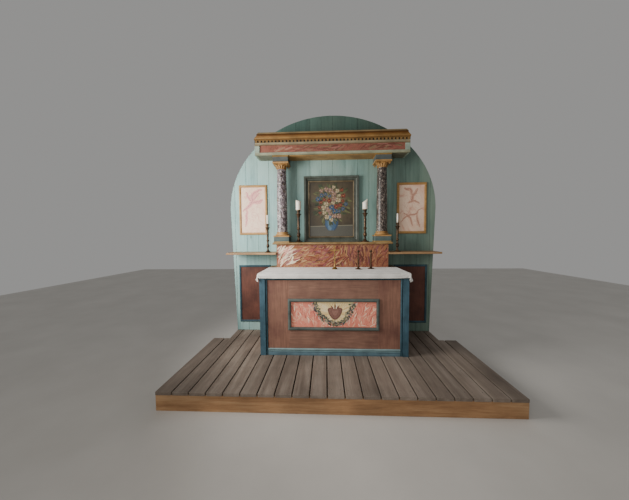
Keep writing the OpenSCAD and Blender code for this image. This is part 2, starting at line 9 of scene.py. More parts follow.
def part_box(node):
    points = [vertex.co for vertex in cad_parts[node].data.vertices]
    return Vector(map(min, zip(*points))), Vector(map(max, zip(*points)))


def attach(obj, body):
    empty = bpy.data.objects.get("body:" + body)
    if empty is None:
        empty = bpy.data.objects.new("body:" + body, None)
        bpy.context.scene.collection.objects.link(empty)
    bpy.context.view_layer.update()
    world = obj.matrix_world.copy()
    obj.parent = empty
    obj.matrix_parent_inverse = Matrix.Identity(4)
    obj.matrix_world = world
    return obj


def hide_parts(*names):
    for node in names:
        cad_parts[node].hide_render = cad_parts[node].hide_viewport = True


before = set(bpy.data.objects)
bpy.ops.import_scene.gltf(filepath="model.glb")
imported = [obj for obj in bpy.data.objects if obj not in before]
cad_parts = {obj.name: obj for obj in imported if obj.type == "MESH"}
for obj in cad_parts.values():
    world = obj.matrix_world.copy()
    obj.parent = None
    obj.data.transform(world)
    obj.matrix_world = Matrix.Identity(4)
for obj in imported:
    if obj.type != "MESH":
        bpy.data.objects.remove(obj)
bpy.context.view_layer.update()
print("frame loaded")

finishes = {}  # every finish by its name


# Small helpers for the node trees

def linearColour(hexText):
    parts = [int(hexText[i:i + 2], 16) / 255 for i in (1, 3, 5)]
    return [c / 12.92 if c <= 0.04045 else ((c + 0.055) / 1.055) ** 2.4 for c in parts] + [1.0]


def startMaterial(name, roughness=0.6, metallic=0.0, specular=0.5):
    mat = bpy.data.materials.new(name)
    mat.use_nodes = True
    tree = mat.node_tree
    shader = tree.nodes["Principled BSDF"]
    shader.inputs["Roughness"].default_value = roughness
    shader.inputs["Metallic"].default_value = metallic
    shader.inputs["Specular IOR Level"].default_value = specular
    finishes[name] = mat
    return tree, shader, tree.nodes.new("ShaderNodeTexCoord").outputs["Object"]


def addNode(tree, kind, links=(), **settings):
    made = tree.nodes.new(kind)
    for key, value in settings.items():
        setattr(made, key, value)
    for socket, source in dict(links).items():
        if isinstance(source, bpy.types.NodeSocket):
            tree.links.new(source, made.inputs[socket])
        else:
            made.inputs[socket].default_value = source
    return made


def stretched(tree, vector, scale, turn=(0, 0, 0)):
    return addNode(tree, "ShaderNodeMapping", {"Vector": vector, "Scale": scale, "Rotation": turn}).outputs[0]


def clouds(tree, vector, scale, detail=4.0, roughness=0.55, distortion=0.0):
    links = {"Vector": vector, "Scale": scale, "Detail": detail, "Roughness": roughness}
    return addNode(tree, "ShaderNodeTexNoise", {**links, "Distortion": distortion}).outputs[0]


def streaks(tree, vector, scale, detail=3.0, roughness=0.55, distortion=0.0, turn=(0, 0, 0)):
    # clouds drawn out along one direction
    return clouds(tree, stretched(tree, vector, scale, turn), 1.0, detail, roughness, distortion)


def cells(tree, vector, scale, output="Distance"):
    return addNode(tree, "ShaderNodeTexVoronoi", {"Vector": vector, "Scale": scale}).outputs[output]


def oneWay(axis, across, lengthwise):
    # scale factors with one direction apart from the other two
    return [lengthwise if letter == axis else across for letter in "xyz"]


def colourRamp(tree, fac, stops, hard=False):
    made = addNode(tree, "ShaderNodeValToRGB", {0: fac})
    ramp = made.color_ramp
    ramp.interpolation = "CONSTANT" if hard else "LINEAR"
    while len(ramp.elements) < len(stops):
        ramp.elements.new(0.5)
    for element, (place, tone) in zip(ramp.elements, sorted(stops)):
        element.position = place
        element.color = linearColour(tone) if isinstance(tone, str) else (tone, tone, tone, 1)
    return made.outputs[0]


def mathStep(tree, operation, a, b=0.0):
    return addNode(tree, "ShaderNodeMath", {0: a, 1: b}, operation=operation).outputs[0]


def mixed(tree, fac, a, b, mode="MIX"):
    made = addNode(tree, "ShaderNodeMix", data_type="RGBA", blend_type=mode)
    for socket, source in ((0, fac), (6, a), (7, b)):
        if isinstance(source, str):
            source = linearColour(source)
        if isinstance(source, bpy.types.NodeSocket):
            tree.links.new(source, made.inputs[socket])
        else:
            made.inputs[socket].default_value = source
    return made.outputs[2]


def dimmed(tree, colour, shade, share=1.0):
    return mixed(tree, share, colour, shade, "MULTIPLY")


def brushed(tree, colour, strokes, share, stops):
    return mixed(tree, share, colour, colourRamp(tree, strokes, stops), "OVERLAY")


def veins(tree, vector, scale, width, distortion):
    # thin lines where a distorted noise crosses its middle value
    offMiddle = mathStep(tree, "SUBTRACT", clouds(tree, vector, scale, 3, 0.5, distortion), 0.5)
    return colourRamp(tree, mathStep(tree, "ABSOLUTE", offMiddle), [(0.0, 1.0), (width, 0.0)])


def edgeWear(tree, radius, amount):
    # 0 on flats and up to amount at rounded-off edges
    rounded = addNode(tree, "ShaderNodeBevel", {"Radius": radius}, samples=4).outputs[0]
    flat = addNode(tree, "ShaderNodeNewGeometry").outputs["True Normal"]
    facing = addNode(tree, "ShaderNodeVectorMath", {0: rounded, 1: flat}, operation="DOT_PRODUCT")
    turnedAway = mathStep(tree, "SUBTRACT", 1.0, facing.outputs["Value"])
    worn = colourRamp(tree, turnedAway, [(0.02, 0.0), (0.25, 1.0)])
    return mathStep(tree, "MULTIPLY", worn, amount), rounded


def toneOfBoards(tree, darkest):
    # each board's own tone, stored on its mesh
    stored = addNode(tree, "ShaderNodeAttribute", attribute_name="boardTone").outputs["Fac"]
    return colourRamp(tree, stored, [(0.0, darkest), (1.0, 1.0)])


def setSurface(tree, shader, colour, height, strength, distance, normal=None):
    tree.links.new(colour, shader.inputs["Base Color"])
    links = {"Height": height, "Strength": strength, "Distance": distance}
    if normal is not None:
        links["Normal"] = normal
    tree.links.new(addNode(tree, "ShaderNodeBump", links).outputs[0], shader.inputs["Normal"])


# Kinds of finish

def woodFinish(name, dark, middle, light, way, grain=9.0, knots=0.0, darkest=None, roughness=0.68):
    tree, shader, where = startMaterial(name, roughness, specular=0.3)
    lengthwise = stretched(tree, where, oneWay(way, grain, grain * 0.07))
    figure = mathStep(tree, "MULTIPLY", clouds(tree, lengthwise, 1.0, 7, 0.6, 0.7), 0.72)
    fibre = mathStep(tree, "MULTIPLY", streaks(tree, lengthwise, (9, 9, 9), 3, 0.7), 0.28)
    both = mathStep(tree, "ADD", figure, fibre)
    colour = colourRamp(tree, both, [(0.32, dark), (0.5, middle), (0.66, light)])
    if knots:
        spot = cells(tree, stretched(tree, where, oneWay(way, 4.2, 1.9)), 1.0)
        rings = colourRamp(tree, spot, [(knots * 0.5, 1.0), (knots, 0.35), (knots * 2.4, 0.0)])
        colour = mixed(tree, rings, colour, dark)
    if darkest:
        colour = dimmed(tree, colour, toneOfBoards(tree, darkest))
    dirt = colourRamp(tree, clouds(tree, where, 2.3, 5), [(0.38, 0.72), (0.62, 1.0)])
    worn, rounded = edgeWear(tree, 0.003, 0.5)
    colour = mixed(tree, worn, dimmed(tree, colour, dirt), light)
    setSurface(tree, shader, colour, both, 0.35, 0.0016, rounded)


def paintFinish(name, light, dark, under, way="z", mottle=6.0, roughness=0.55, wear=0.5, chips=0.04):
    tree, shader, where = startMaterial(name, roughness, specular=0.35)
    colour = colourRamp(tree, clouds(tree, where, mottle, 5, 0.6), [(0.33, dark), (0.64, light)])
    strokes = streaks(tree, where, oneWay(way, 90, 5), 3, 0.6)
    colour = brushed(tree, colour, strokes, 0.35, [(0.35, 0.42), (0.65, 0.9)])
    specks = colourRamp(tree, clouds(tree, where, 55, 3, 0.75), [(0.70, 0.0), (0.74, 1.0)])
    colour = mixed(tree, mathStep(tree, "MULTIPLY", specks, chips * 8), colour, under)
    worn, rounded = edgeWear(tree, 0.0025, wear)
    patches = colourRamp(tree, clouds(tree, where, 21, 4), [(0.4, 0.0), (0.58, 1.0)])
    colour = mixed(tree, mathStep(tree, "MULTIPLY", worn, patches), colour, under)
    setSurface(tree, shader, colour, strokes, 0.22, 0.0008, rounded)


def bandedFinish(name, node, stops, roughness=0.5):
    # paint laid in level bands; each stop is a share of the node's height and its colour
    tree, shader, where = startMaterial(name, roughness, specular=0.35)
    low, high = (corner.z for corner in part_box(node))
    height = addNode(tree, "ShaderNodeSeparateXYZ", {0: where}).outputs["Z"]
    share = mathStep(tree, "DIVIDE", mathStep(tree, "SUBTRACT", height, low), high - low)
    strokes = streaks(tree, where, (6, 70, 70), 4, 0.6)
    colour = brushed(tree, colourRamp(tree, share, stops), strokes, 0.45, [(0.3, 0.3), (0.7, 0.8)])
    dirt = colourRamp(tree, clouds(tree, where, 7, 5), [(0.36, 0.74), (0.6, 1.0)])
    worn, rounded = edgeWear(tree, 0.002, 0.5)
    colour = mixed(tree, worn, dimmed(tree, colour, dirt), "#3c3022")
    setSurface(tree, shader, colour, strokes, 0.22, 0.0008, rounded)


def marbleFinish(name, tones, veinTones, scale, lean, squash, width, roughness=0.42, distortion=1.6):
    # painted marbling: broad clouds of colour with one or more sets of thin veins
    tree, shader, where = startMaterial(name, roughness, specular=0.4)
    laid = stretched(tree, stretched(tree, where, (1, 1, 1), (0, lean, 0)), squash)
    stops = [(0.3 + 0.4 * i / (len(tones) - 1), tone) for i, tone in enumerate(tones)]
    colour = colourRamp(tree, clouds(tree, laid, scale, 6, 0.62, distortion), stops)
    for i, tone in enumerate(veinTones):
        turned = stretched(tree, laid, (1, 1, 1), (0.3 * i, 0.5 * i, 0.2))
        line = veins(tree, turned, scale * (1.1 + 0.8 * i), width, distortion + 0.5)
        patch = colourRamp(tree, clouds(tree, where, 4 + 3 * i, 3), [(0.4, 0.15), (0.6, 1.0)])
        colour = mixed(tree, mathStep(tree, "MULTIPLY", line, patch), colour, tone)
    rounded = edgeWear(tree, 0.002, 0.0)[1]
    setSurface(tree, shader, colour, streaks(tree, where, (60, 60, 8)), 0.15, 0.0006, rounded)


def fleckedFinish(name, tones, pale, dull):
    # dense flecks of white, lilac, ochre and near black, as dabbed on with a sponge
    tree, shader, where = startMaterial(name, 0.4, specular=0.45)
    links = {"Vector": where, "Scale": 38.0, "Detail": 3.0}
    wobble = addNode(tree, "ShaderNodeTexNoise", links).outputs["Color"]
    shifted = addNode(tree, "ShaderNodeMix", {0: 0.035, 4: where, 5: wobble}, data_type="VECTOR").outputs[1]
    coarse = cells(tree, stretched(tree, shifted, (1, 1, 0.7)), 74, "Color")
    dabs = addNode(tree, "ShaderNodeSeparateColor", {0: coarse}).outputs[0]
    colour = colourRamp(tree, dabs, tones, hard=True)
    small = addNode(tree, "ShaderNodeSeparateColor", {0: cells(tree, shifted, 170, "Color")}).outputs[1]
    colour = mixed(tree, colourRamp(tree, small, [(0.78, 0.0), (0.82, 0.7)]), colour, pale)
    smears = colourRamp(tree, clouds(tree, where, 80, 3), [(0.54, 0.0), (0.62, 0.65)])
    setSurface(tree, shader, mixed(tree, smears, colour, dull), dabs, 0.12, 0.0006)


def linenFinish(name):
    tree, shader, where = startMaterial(name, 0.9, specular=0.2)
    shader.inputs["Sheen Weight"].default_value = 0.25
    links = {"Vector": where, "Scale": 210.0, "Distortion": 0.6}
    threads = [addNode(tree, "ShaderNodeTexWave", links, bands_direction=way).outputs["Fac"] for way in "XY"]
    weave = mathStep(tree, "ADD", *threads)
    colour = colourRamp(tree, clouds(tree, where, 9, 5), [(0.3, "#cfcdc8"), (0.7, "#e9e7e2")])
    colour = mixed(tree, colourRamp(tree, weave, [(0.2, 0.3), (1.0, 0.0)]), colour, "#bdbab4")
    setSurface(tree, shader, colour, weave, 0.25, 0.0007)


def metalFinish(name, light, dark, roughness, metallic=0.85):
    tree, shader, where = startMaterial(name, roughness, metallic)
    colour = colourRamp(tree, clouds(tree, where, 24, 6, 0.7), [(0.35, dark), (0.68, light)])
    worn, rounded = edgeWear(tree, 0.0015, 0.7)
    dullness = colourRamp(tree, clouds(tree, where, 60, 4), [(0.3, 0.3), (0.7, 0.62)])
    tree.links.new(dullness, shader.inputs["Roughness"])
    colour = mixed(tree, worn, colour, light)
    setSurface(tree, shader, colour, clouds(tree, where, 130, 3), 0.12, 0.0005, rounded)


def waxFinish(name):
    tree, shader, where = startMaterial(name, 0.45)
    shader.inputs["Subsurface Weight"].default_value = 0.25
    shader.inputs["Subsurface Radius"].default_value = (0.012, 0.009, 0.006)
    colour = colourRamp(tree, clouds(tree, where, 16, 4), [(0.3, "#ddd5c2"), (0.7, "#f2eee4")])
    runs = clouds(tree, stretched(tree, where, (1, 1, 0.25)), 70, 3)
    setSurface(tree, shader, colour, runs, 0.25, 0.0008)


def toneFinish(name, roughness, brush):
    # paint whose colour is stored on the mesh, with brush strokes over it
    tree, shader, where = startMaterial(name, roughness)
    stored = addNode(tree, "ShaderNodeAttribute", attribute_name="tone").outputs["Color"]
    strokes = clouds(tree, stretched(tree, where, brush), 3.0, 4, 0.65, 0.5)
    colour = brushed(tree, stored, strokes, 0.6, [(0.3, 0.28), (0.7, 0.8)])
    setSurface(tree, shader, colour, strokes, 0.3, 0.0006)


# Finishes in use

# wood: dark, middle and light tone, and the way the grain runs
woodFinish("rawWood", "#5c4a37", "#8b7355", "#a88f6d", "x", roughness=0.8)
woodFinish("shelfWood", "#73543a", "#a3805c", "#c29e76", "x", grain=12, roughness=0.5)
woodFinish("riserPine", "#866143", "#ad855f", "#c6a179", "x", grain=11, knots=0.11, roughness=0.55)
woodFinish(
    "deckWood", "#73665b", "#8b7d71", "#a09387", "y", grain=13, knots=0.04, darkest=0.72, roughness=0.72)
woodFinish("battenWood", "#54432f", "#86704f", "#a58c68", "x", roughness=0.85)
woodFinish("boardBacks", "#5a4935", "#8d7657", "#ab936f", "z", knots=0.05, darkest=0.52, roughness=0.85)

# paint: light and dark tone, undercoat, the way of the brush and the size of the mottling
paintFinish("steelBlue", "#3d5a68", "#2b434e", "#202f35", "z", 7, wear=0.6)
paintFinish("brownRed", "#846050", "#66453c", "#452e26", "z", 3.2, roughness=0.62, wear=0.3, chips=0.02)
paintFinish("brownRedWide", "#826152", "#67483e", "#452e26", "x", 3.2, roughness=0.62, wear=0.3, chips=0.02)
paintFinish("wainscotRed", "#633d32", "#482b24", "#3c241d", "z", 4, roughness=0.6, wear=0.2)
paintFinish("darkTeal", "#33505b", "#223a44", "#17242a", "z", 8)
paintFinish("greyTeal", "#535d59", "#3d4644", "#272f2f", "x", 8)
paintFinish("frameTeal", "#4b514a", "#363b35", "#77654a", "z", 9, roughness=0.45, wear=0.8)
paintFinish("paleGreen", "#97a494", "#7c8b7d", "#55645a", "x", 6, wear=0.6)
paintFinish("ochre", "#ab8450", "#8a663a", "#624829", "x", 9, roughness=0.48)
# the dentils' ochre, darkened as painted shade for the shadow under the cornice
paintFinish("toothOchreShaded", "#86683e", "#654a2b", "#3a2813", "x", 9, roughness=0.45, wear=0.4)
# near-black backing behind the dentils: painted shade in the gaps between the teeth
paintFinish("nearBlackGapShade", "#2b251e", "#1c1814", "#3a3026", "x", 9, wear=0.2)
paintFinish("gradineEdge", "#957a52", "#6c5535", "#3f3322", "x", 8)
paintFinish("slipPaint", "#766850", "#584b37", "#43382a", "z", 9, wear=0.6)
paintFinish("soffitPaint", "#757260", "#5b5747", "#3a4845", "x", 6, wear=0.4)

# marbling: tones of the clouds, tones of the veins, scale, lean, squash and width of the veins
marbleFinish(
    "salmonMarble", ["#cf6c5b", "#e1816e", "#ea927c", "#e07e6a"], ["#f3c9a6", "#c06656"],
    5, 0.6, (1, 1, 0.55), 0.022)
marbleFinish(
    "gradineMarble", ["#5c2c20", "#884936", "#966547", "#864b38", "#9c744f"], ["#c4a67e", "#5f291f"],
    7, 0.75, (0.4, 1, 2.6), 0.03)
marbleFinish(
    "terracottaMarble", ["#6b3b30", "#865043", "#935b4b", "#774739"], ["#9c7260", "#84704a", "#5a2f26"],
    10, 0.5, (0.7, 1, 1.3), 0.02)
marbleFinish(
    "paleMarble", ["#dfb49a", "#edd2bb", "#e8c6ae", "#d8a68e"], ["#c98a78"],
    4.5, 0.35, (1, 1, 0.7), 0.01, roughness=0.4, distortion=2.2)

# the cornice's gold and brown paint by height, with painted shade in the darkest band under the top fillet
# and a painted highlight on the top fillet
bandedFinish("corniceBands", "cornice", [
    (0.0, "#735229"), (0.2, "#967242"), (0.4, "#8e6833"), (0.55, "#70481d"), (0.74, "#543618"),
    (0.8, "#806d4c"), (1.0, "#7b6949")], 0.45)
# pale green frame paint with a beige top rail; the dark brown band at 0.78 of the height is a painted shadow
# along the top rail's lower edge
bandedFinish("friezeFrame", "frieze_frame", [
    (0.0, "#8f8f74"), (0.18, "#979d87"), (0.28, "#99a99a"), (0.7, "#99a99a"), (0.78, "#76674d"),
    (0.86, "#8b7d62"), (1.0, "#9c9378")])
bandedFinish("capitalBlock", "capital_blocks", [
    (0.0, "#4b5150"), (0.78, "#5a605e"), (0.8, "#8d6d3c"), (1.0, "#94743f")])
bandedFinish("baseBlock", "base_blocks", [
    (0.0, "#a08250"), (0.18, "#a08250"), (0.2, "#4b5d5b"), (1.0, "#55615f")])
bandedFinish("railBands", "base_rail", [
    (0.0, "#56707c"), (0.42, "#607c88"), (0.5, "#2d424c"), (0.58, "#6f8c92"), (1.0, "#7f999c")])

# the left column stands in the light, the right one in the shade; the right column's flecks are darker,
# partly its own paint and partly painted shade
fleckedFinish("flecked", [
    (0.0, "#241f1e"), (0.16, "#403537"), (0.36, "#5d4f55"), (0.58, "#73666e"), (0.74, "#a3999c"),
    (0.84, "#bfb8b4"), (0.91, "#6c593b"), (0.95, "#31262b")], "#baafb0", "#4c3d43")
fleckedFinish("fleckedDarkAndShaded", [
    (0.0, "#0f0a09"), (0.24, "#201713"), (0.46, "#352823"), (0.64, "#473a37"), (0.77, "#756a63"),
    (0.86, "#a0958a"), (0.92, "#4e3b1d"), (0.955, "#160f0d")], "#8c8278", "#241a17")

linenFinish("linen")
metalFinish("darkBronze", "#5e462e", "#1f1813", 0.45, 0.6)
metalFinish("dullBrass", "#b8955a", "#6f5732", 0.38)
metalFinish("iron", "#57504a", "#2b2724", 0.6, 0.6)
waxFinish("wax")
toneFinish("ornamentPaint", 0.5, (40, 40, 12))
toneFinish("oilPaint", 0.35, (60, 60, 60))
print("finishes made:", len(finishes))


# Building meshes

def newPiece(name, bm, finish, replaces=(), smooth=False, backFinish=None):
    mesh = bpy.data.meshes.new(name)
    bmesh.ops.recalc_face_normals(bm, faces=bm.faces)
    bm.to_mesh(mesh)
    bm.free()
    piece = bpy.data.objects.new(name, mesh)
    bpy.context.scene.collection.objects.link(piece)
    mesh.materials.append(finishes[finish])
    if backFinish:
        mesh.materials.append(finishes[backFinish])
        mesh.polygons.foreach_set("material_index", [int(p.normal.y > 0.5) for p in mesh.polygons])
    if smooth:
        mesh.polygons.foreach_set("use_smooth", [True] * len(mesh.polygons))
    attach(piece, "root")
    if replaces:
        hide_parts(*replaces)
    return piece


def addBlock(bm, low, high, bevel, tone=None, layer=None):
    # one closed box with rounded edges
    low, high = Vector(low), Vector(high)
    place = Matrix.Translation((low + high) / 2) @ Matrix.Diagonal((*(high - low), 1))
    verts = bmesh.ops.create_cube(bm, size=1, matrix=place)["verts"]
    edges = dict.fromkeys(e for v in verts for e in v.link_edges)
    made = bmesh.ops.bevel(bm, geom=list(edges), offset=bevel, segments=2, affect="EDGES")["verts"]
    if layer is not None:
        for v in [v for v in verts if v.is_valid] + list(made):
            v[layer] = tone


def addOutline(bm, points, yFront, yBack, bevel, tone, layer):
    # a flat shape drawn in X and Z, as thick as yFront to yBack
    front = [bm.verts.new((x, yFront, z)) for x, z in points]
    back = [bm.verts.new((x, yBack, z)) for x, z in points]
    face = bm.faces.new(front)
    bm.faces.new(back[::-1])
    count = len(points)
    for i in range(count):
        bm.faces.new((front[i], back[i], back[(i + 1) % count], front[(i + 1) % count]))
    verts = front + back
    if bevel:
        verts += bmesh.ops.bevel(bm, geom=list(face.edges), offset=bevel, segments=2, affect="EDGES")["verts"]
    for v in verts:
        if v.is_valid:
            v[layer] = tone


def skinRows(bm, rows, closed=False):
    # faces between each row of points and the next; a row of one point closes the form
    for here, after in zip(rows, rows[1:]):
        count = max(len(here), len(after))
        for i in range(count if closed else count - 1):
            j = (i + 1) % count
            loop = [here[i % len(here)], here[j % len(here)], after[j % len(after)], after[i % len(after)]]
            bm.faces.new(list(dict.fromkeys(loop)))


def cutStrip(points, low, high):
    # keeps what lies between two upright lines
    for side, limit in ((1, low), (-1, high)):
        kept = []
        for i, here in enumerate(points):
            after = points[(i + 1) % len(points)]
            inside, insideAfter = side * (here[0] - limit) >= 0, side * (after[0] - limit) >= 0
            if inside:
                kept.append(here)
            if inside != insideAfter:
                share = (limit - here[0]) / (after[0] - here[0])
                kept.append((limit, here[1] + (after[1] - here[1]) * share))
        points = kept
    return points


# Deck: loose boards with open gaps and iron nails over the joists
deck = {
    "pitch": 0.153, "gap": 0.0105, "cadGap": 0.008, "round": 0.0022, "sag": 0.0012, "ragged": 0.002,
    "wideDepth": 1.18,  # how far back the outer boards run
    "backHalf": 1.385,  # half the width of the deck behind them
    "narrowest": 0.02,
    "nailRows": (0.082, 0.437, 0.79), "nailInset": 0.028, "nailRadius": 0.0042, "nailHeight": 0.0016,
}
deckLow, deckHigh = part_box("deck_boards")


def boardSpans(x0, x1):
    # left, right, front and back of the one or two lengths that make a board
    wideBack = deckLow.y + deck["wideDepth"]
    inner0, inner1 = max(x0, -deck["backHalf"]), min(x1, deck["backHalf"])
    if inner1 - inner0 > x1 - x0 - 0.001:
        return [(x0, x1, None, deckHigh.y)]
    if inner1 - inner0 > deck["narrowest"]:
        return [(x0, x1, None, wideBack), (inner0, inner1, wideBack, deckHigh.y)]
    return [(x0, x1, None, wideBack)]


def buildDeck():
    rnd = random.Random(7)
    bm, nails = bmesh.new(), bmesh.new()
    tones = bm.verts.layers.float.new("boardTone")
    pitch, nailRadius = deck["pitch"], deck["nailRadius"]
    for i in range(round((deckHigh.x - deckLow.x) / pitch)):
        x0 = deckLow.x + i * pitch + (deck["gap"] - deck["cadGap"]) / 2 * (i > 0)
        x1 = deckLow.x + (i + 1) * pitch - (deck["gap"] + deck["cadGap"]) / 2
        tone = rnd.random()
        top = deckHigh.z - rnd.random() * deck["sag"]
        for left, right, front, back in boardSpans(x0, x1):
            if front is None:
                front = deckLow.y + rnd.random() * deck["ragged"]
            addBlock(bm, (left, front, deckLow.z + 0.0002), (right, back, top), deck["round"], tone, tones)
        for row in deck["nailRows"]:
            for x in (x0 + deck["nailInset"], x1 - deck["nailInset"]):
                nailX = x + rnd.uniform(-0.004, 0.004)
                nailY = deckLow.y + row + rnd.uniform(-0.006, 0.006)
                place = Matrix.Translation((nailX, nailY, top - 0.0006))
                bmesh.ops.create_cone(
                    nails, cap_ends=True, segments=10, radius1=nailRadius, radius2=nailRadius * 0.8,
                    depth=deck["nailHeight"], matrix=place)
    newPiece("deckBoards", bm, "deckWood", ("deck_boards",))
    newPiece("deckNails", nails, "iron")


# Boarding: upright boards whose joints follow the real ones
boarding = {
    "seams": [
        -1.38, -1.215, -1.05, -0.884, -0.687, -0.491, -0.296, -0.137, 0.022,
        0.197, 0.366, 0.526, 0.69, 0.86, 1.03, 1.2, 1.37],
    "gap": 0.002, "round": 0.0014,
    "tongue": 0.0022,  # how far the tongue lies behind the face
    "tongueHalf": 0.005, "springHeight": 1.93, "archSteps": 72,
    # paint: its own tones, then what multiplies it over the cornice, and the painted shade that grows towards
    # the right
    "light": "#9dc7c5", "dark": "#8ab1b0", "ground": "#adcec8", "knot": "#44544f", "edge": "#3a4b47",
    "overCornice": "#a6aea4", "rightPaintedShade": "#bdb3a6", "half": 1.2,
}


def boardPaintFinish(name):
    # painted upright boards, each with its own tone, the darker field over the cornice, and painted shade
    # growing towards the right
    tree, shader, where = startMaterial(name, 0.6, specular=0.3)
    strokes = streaks(tree, where, (60, 60, 2.2), 6, 0.6, 0.4)
    pale = colourRamp(tree, strokes, [(0.35, 0.0), (0.65, 1.0)])
    colour = mixed(tree, pale, boarding["dark"], boarding["light"])
    rubbed = colourRamp(tree, streaks(tree, where, (2.4, 2.4, 1.1), 5), [(0.42, 0.0), (0.62, 0.75)])
    colour = mixed(tree, rubbed, colour, boarding["ground"])
    damp = streaks(tree, where, (7, 7, 1.6), 6, 0.62, turn=(0, 0.1, 0))
    colour = dimmed(tree, colour, colourRamp(tree, damp, [(0.33, 0.72), (0.52, 1.0)]), 0.7)
    colour = dimmed(tree, colour, toneOfBoards(tree, 0.84))
    knots = cells(tree, stretched(tree, where, (3.1, 3.1, 1.3)), 1.0)
    colour = mixed(tree, colourRamp(tree, knots, [(0.02, 0.7), (0.045, 0.0)]), colour, boarding["knot"])
    place = addNode(tree, "ShaderNodeSeparateXYZ", {0: where})
    # painted shade: the colour is darkened more and more across the boarding from left to right
    half = boarding["half"]
    across = mathStep(tree, "DIVIDE", mathStep(tree, "ADD", place.outputs["X"], half), 2 * half)
    colour = dimmed(tree, colour, colourRamp(tree, across, [(0.0, 1.0), (1.0, boarding["rightPaintedShade"])]))
    above = mathStep(tree, "GREATER_THAN", place.outputs["Z"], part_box("cornice")[1].z)
    colour = mixed(tree, above, colour, dimmed(tree, colour, boarding["overCornice"]))
    worn, rounded = edgeWear(tree, 0.003, 0.8)
    setSurface(tree, shader, mixed(tree, worn, colour, boarding["edge"]), strokes, 0.3, 0.0012, rounded)


def buildBoarding():
    rnd = random.Random(3)
    low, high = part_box("upper_boarding")
    lowLower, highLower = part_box("lower_boarding")
    spring, halfWidth = boarding["springHeight"], high.x
    turns = [math.pi * i / boarding["archSteps"] for i in range(boarding["archSteps"] + 1)]
    arch = [(halfWidth * math.cos(a), spring + (high.z - spring) * math.sin(a)) for a in turns]
    upper = [(highLower.x, low.z)] + arch + [(-highLower.x, low.z)]
    foot = deck["backHalf"]
    lower = [(-foot, lowLower.z), (foot, lowLower.z), (highLower.x, highLower.z), (-highLower.x, highLower.z)]
    edges = [-halfWidth - 0.01] + boarding["seams"] + [halfWidth + 0.01]
    boardTones = [rnd.random() for _ in edges]
    halfGap, halfTongue = boarding["gap"] / 2, boarding["tongueHalf"]
    fields = (("upperBoards", upper, "upper_boarding"), ("lowerBoards", lower, "lower_boarding"))
    for name, outline, node in fields:
        bm = bmesh.new()
        tones = bm.verts.layers.float.new("boardTone")
        for left, right, tone in zip(edges, edges[1:], boardTones):
            strip = cutStrip(outline, left + halfGap, right - halfGap)
            if len(strip) > 2:
                addOutline(bm, strip, low.y, high.y - 0.0006, boarding["round"], tone, tones)
            tongue = cutStrip(outline, left - halfTongue, left + halfTongue)
            if len(tongue) > 2:
                addOutline(bm, tongue, low.y + boarding["tongue"], high.y - 0.006, 0, tone, tones)
        newPiece(name, bm, "paleBoards", (node,), backFinish="boardBacks")


boardPaintFinish("paleBoards")
buildDeck()
buildBoarding()
print("boards laid")


# Cloth over the table: one flat sheet, let fall so that it hangs over the front edge and both ends
cloth = {
    "front": 0.056, "leftEnd": 0.082, "rightEnd": 0.098, "thickness": 0.0014, "across": 170, "deep": 60,
    "gap": 0.0022, "crease": 0.0011, "creaseSize": 6.0,
    "frames": 40, "quality": 9, "mass": 0.25, "stiffness": 25, "bending": 0.25, "damping": 2,
    "heldRows": 3, "heldInset": 0.012,
    "tableRound": 0.005, "tableDeep": 0.12, "tableSkin": 0.001, "friction": 12,
}


def letFall(piece, low, high):
    # the table as a block with rounded edges, and the sheet held along its back edge
    blockMesh = bmesh.new()
    addBlock(blockMesh, (low.x, low.y, low.z - cloth["tableDeep"]), high, cloth["tableRound"])
    tableMesh = bpy.data.meshes.new("tableBlock")
    blockMesh.to_mesh(tableMesh)
    blockMesh.free()
    table = bpy.data.objects.new("tableBlock", tableMesh)
    scene = bpy.context.scene
    scene.collection.objects.link(table)
    table.modifiers.new("hard", "COLLISION")
    table.collision.thickness_outer = cloth["tableSkin"]
    table.collision.cloth_friction = cloth["friction"]
    group = piece.vertex_groups.new(name="heldEdge")
    backRows = list(piece.data.vertices)[:(cloth["across"] + 1) * cloth["heldRows"]]
    group.add([v.index for v in backRows if abs(v.co.x) < high.x - cloth["heldInset"]], 1.0, "REPLACE")
    fall = piece.modifiers.new("fall", "CLOTH")
    soft = fall.settings
    soft.quality = cloth["quality"]
    soft.mass = cloth["mass"]
    soft.tension_stiffness = soft.compression_stiffness = soft.shear_stiffness = cloth["stiffness"]
    soft.bending_stiffness = cloth["bending"]
    soft.air_damping = cloth["damping"]
    soft.vertex_group_mass = "heldEdge"
    fall.collision_settings.distance_min = cloth["gap"] - cloth["tableSkin"]
    fall.collision_settings.collision_quality = 4
    scene.frame_start, scene.frame_end = 1, cloth["frames"]
    fall.point_cache.frame_start, fall.point_cache.frame_end = 1, cloth["frames"]
    for frameNumber in range(1, cloth["frames"] + 1):
        scene.frame_set(frameNumber)
    settled = piece.evaluated_get(bpy.context.evaluated_depsgraph_get()).to_mesh()
    points = [v.co.copy() for v in settled.vertices]
    piece.modifiers.remove(fall)
    piece.vertex_groups.clear()
    bpy.data.objects.remove(table)
    scene.frame_set(1)
    return points


def clothCreases(x, y):
    size = cloth["creaseSize"]
    broad = noise.noise(Vector((x, y * 1.4, 0.3)) * size)
    return cloth["crease"] * max(0.0, 0.6 + (broad + 0.5 * noise.noise(Vector((x, y, 4.0)) * size * 3)))


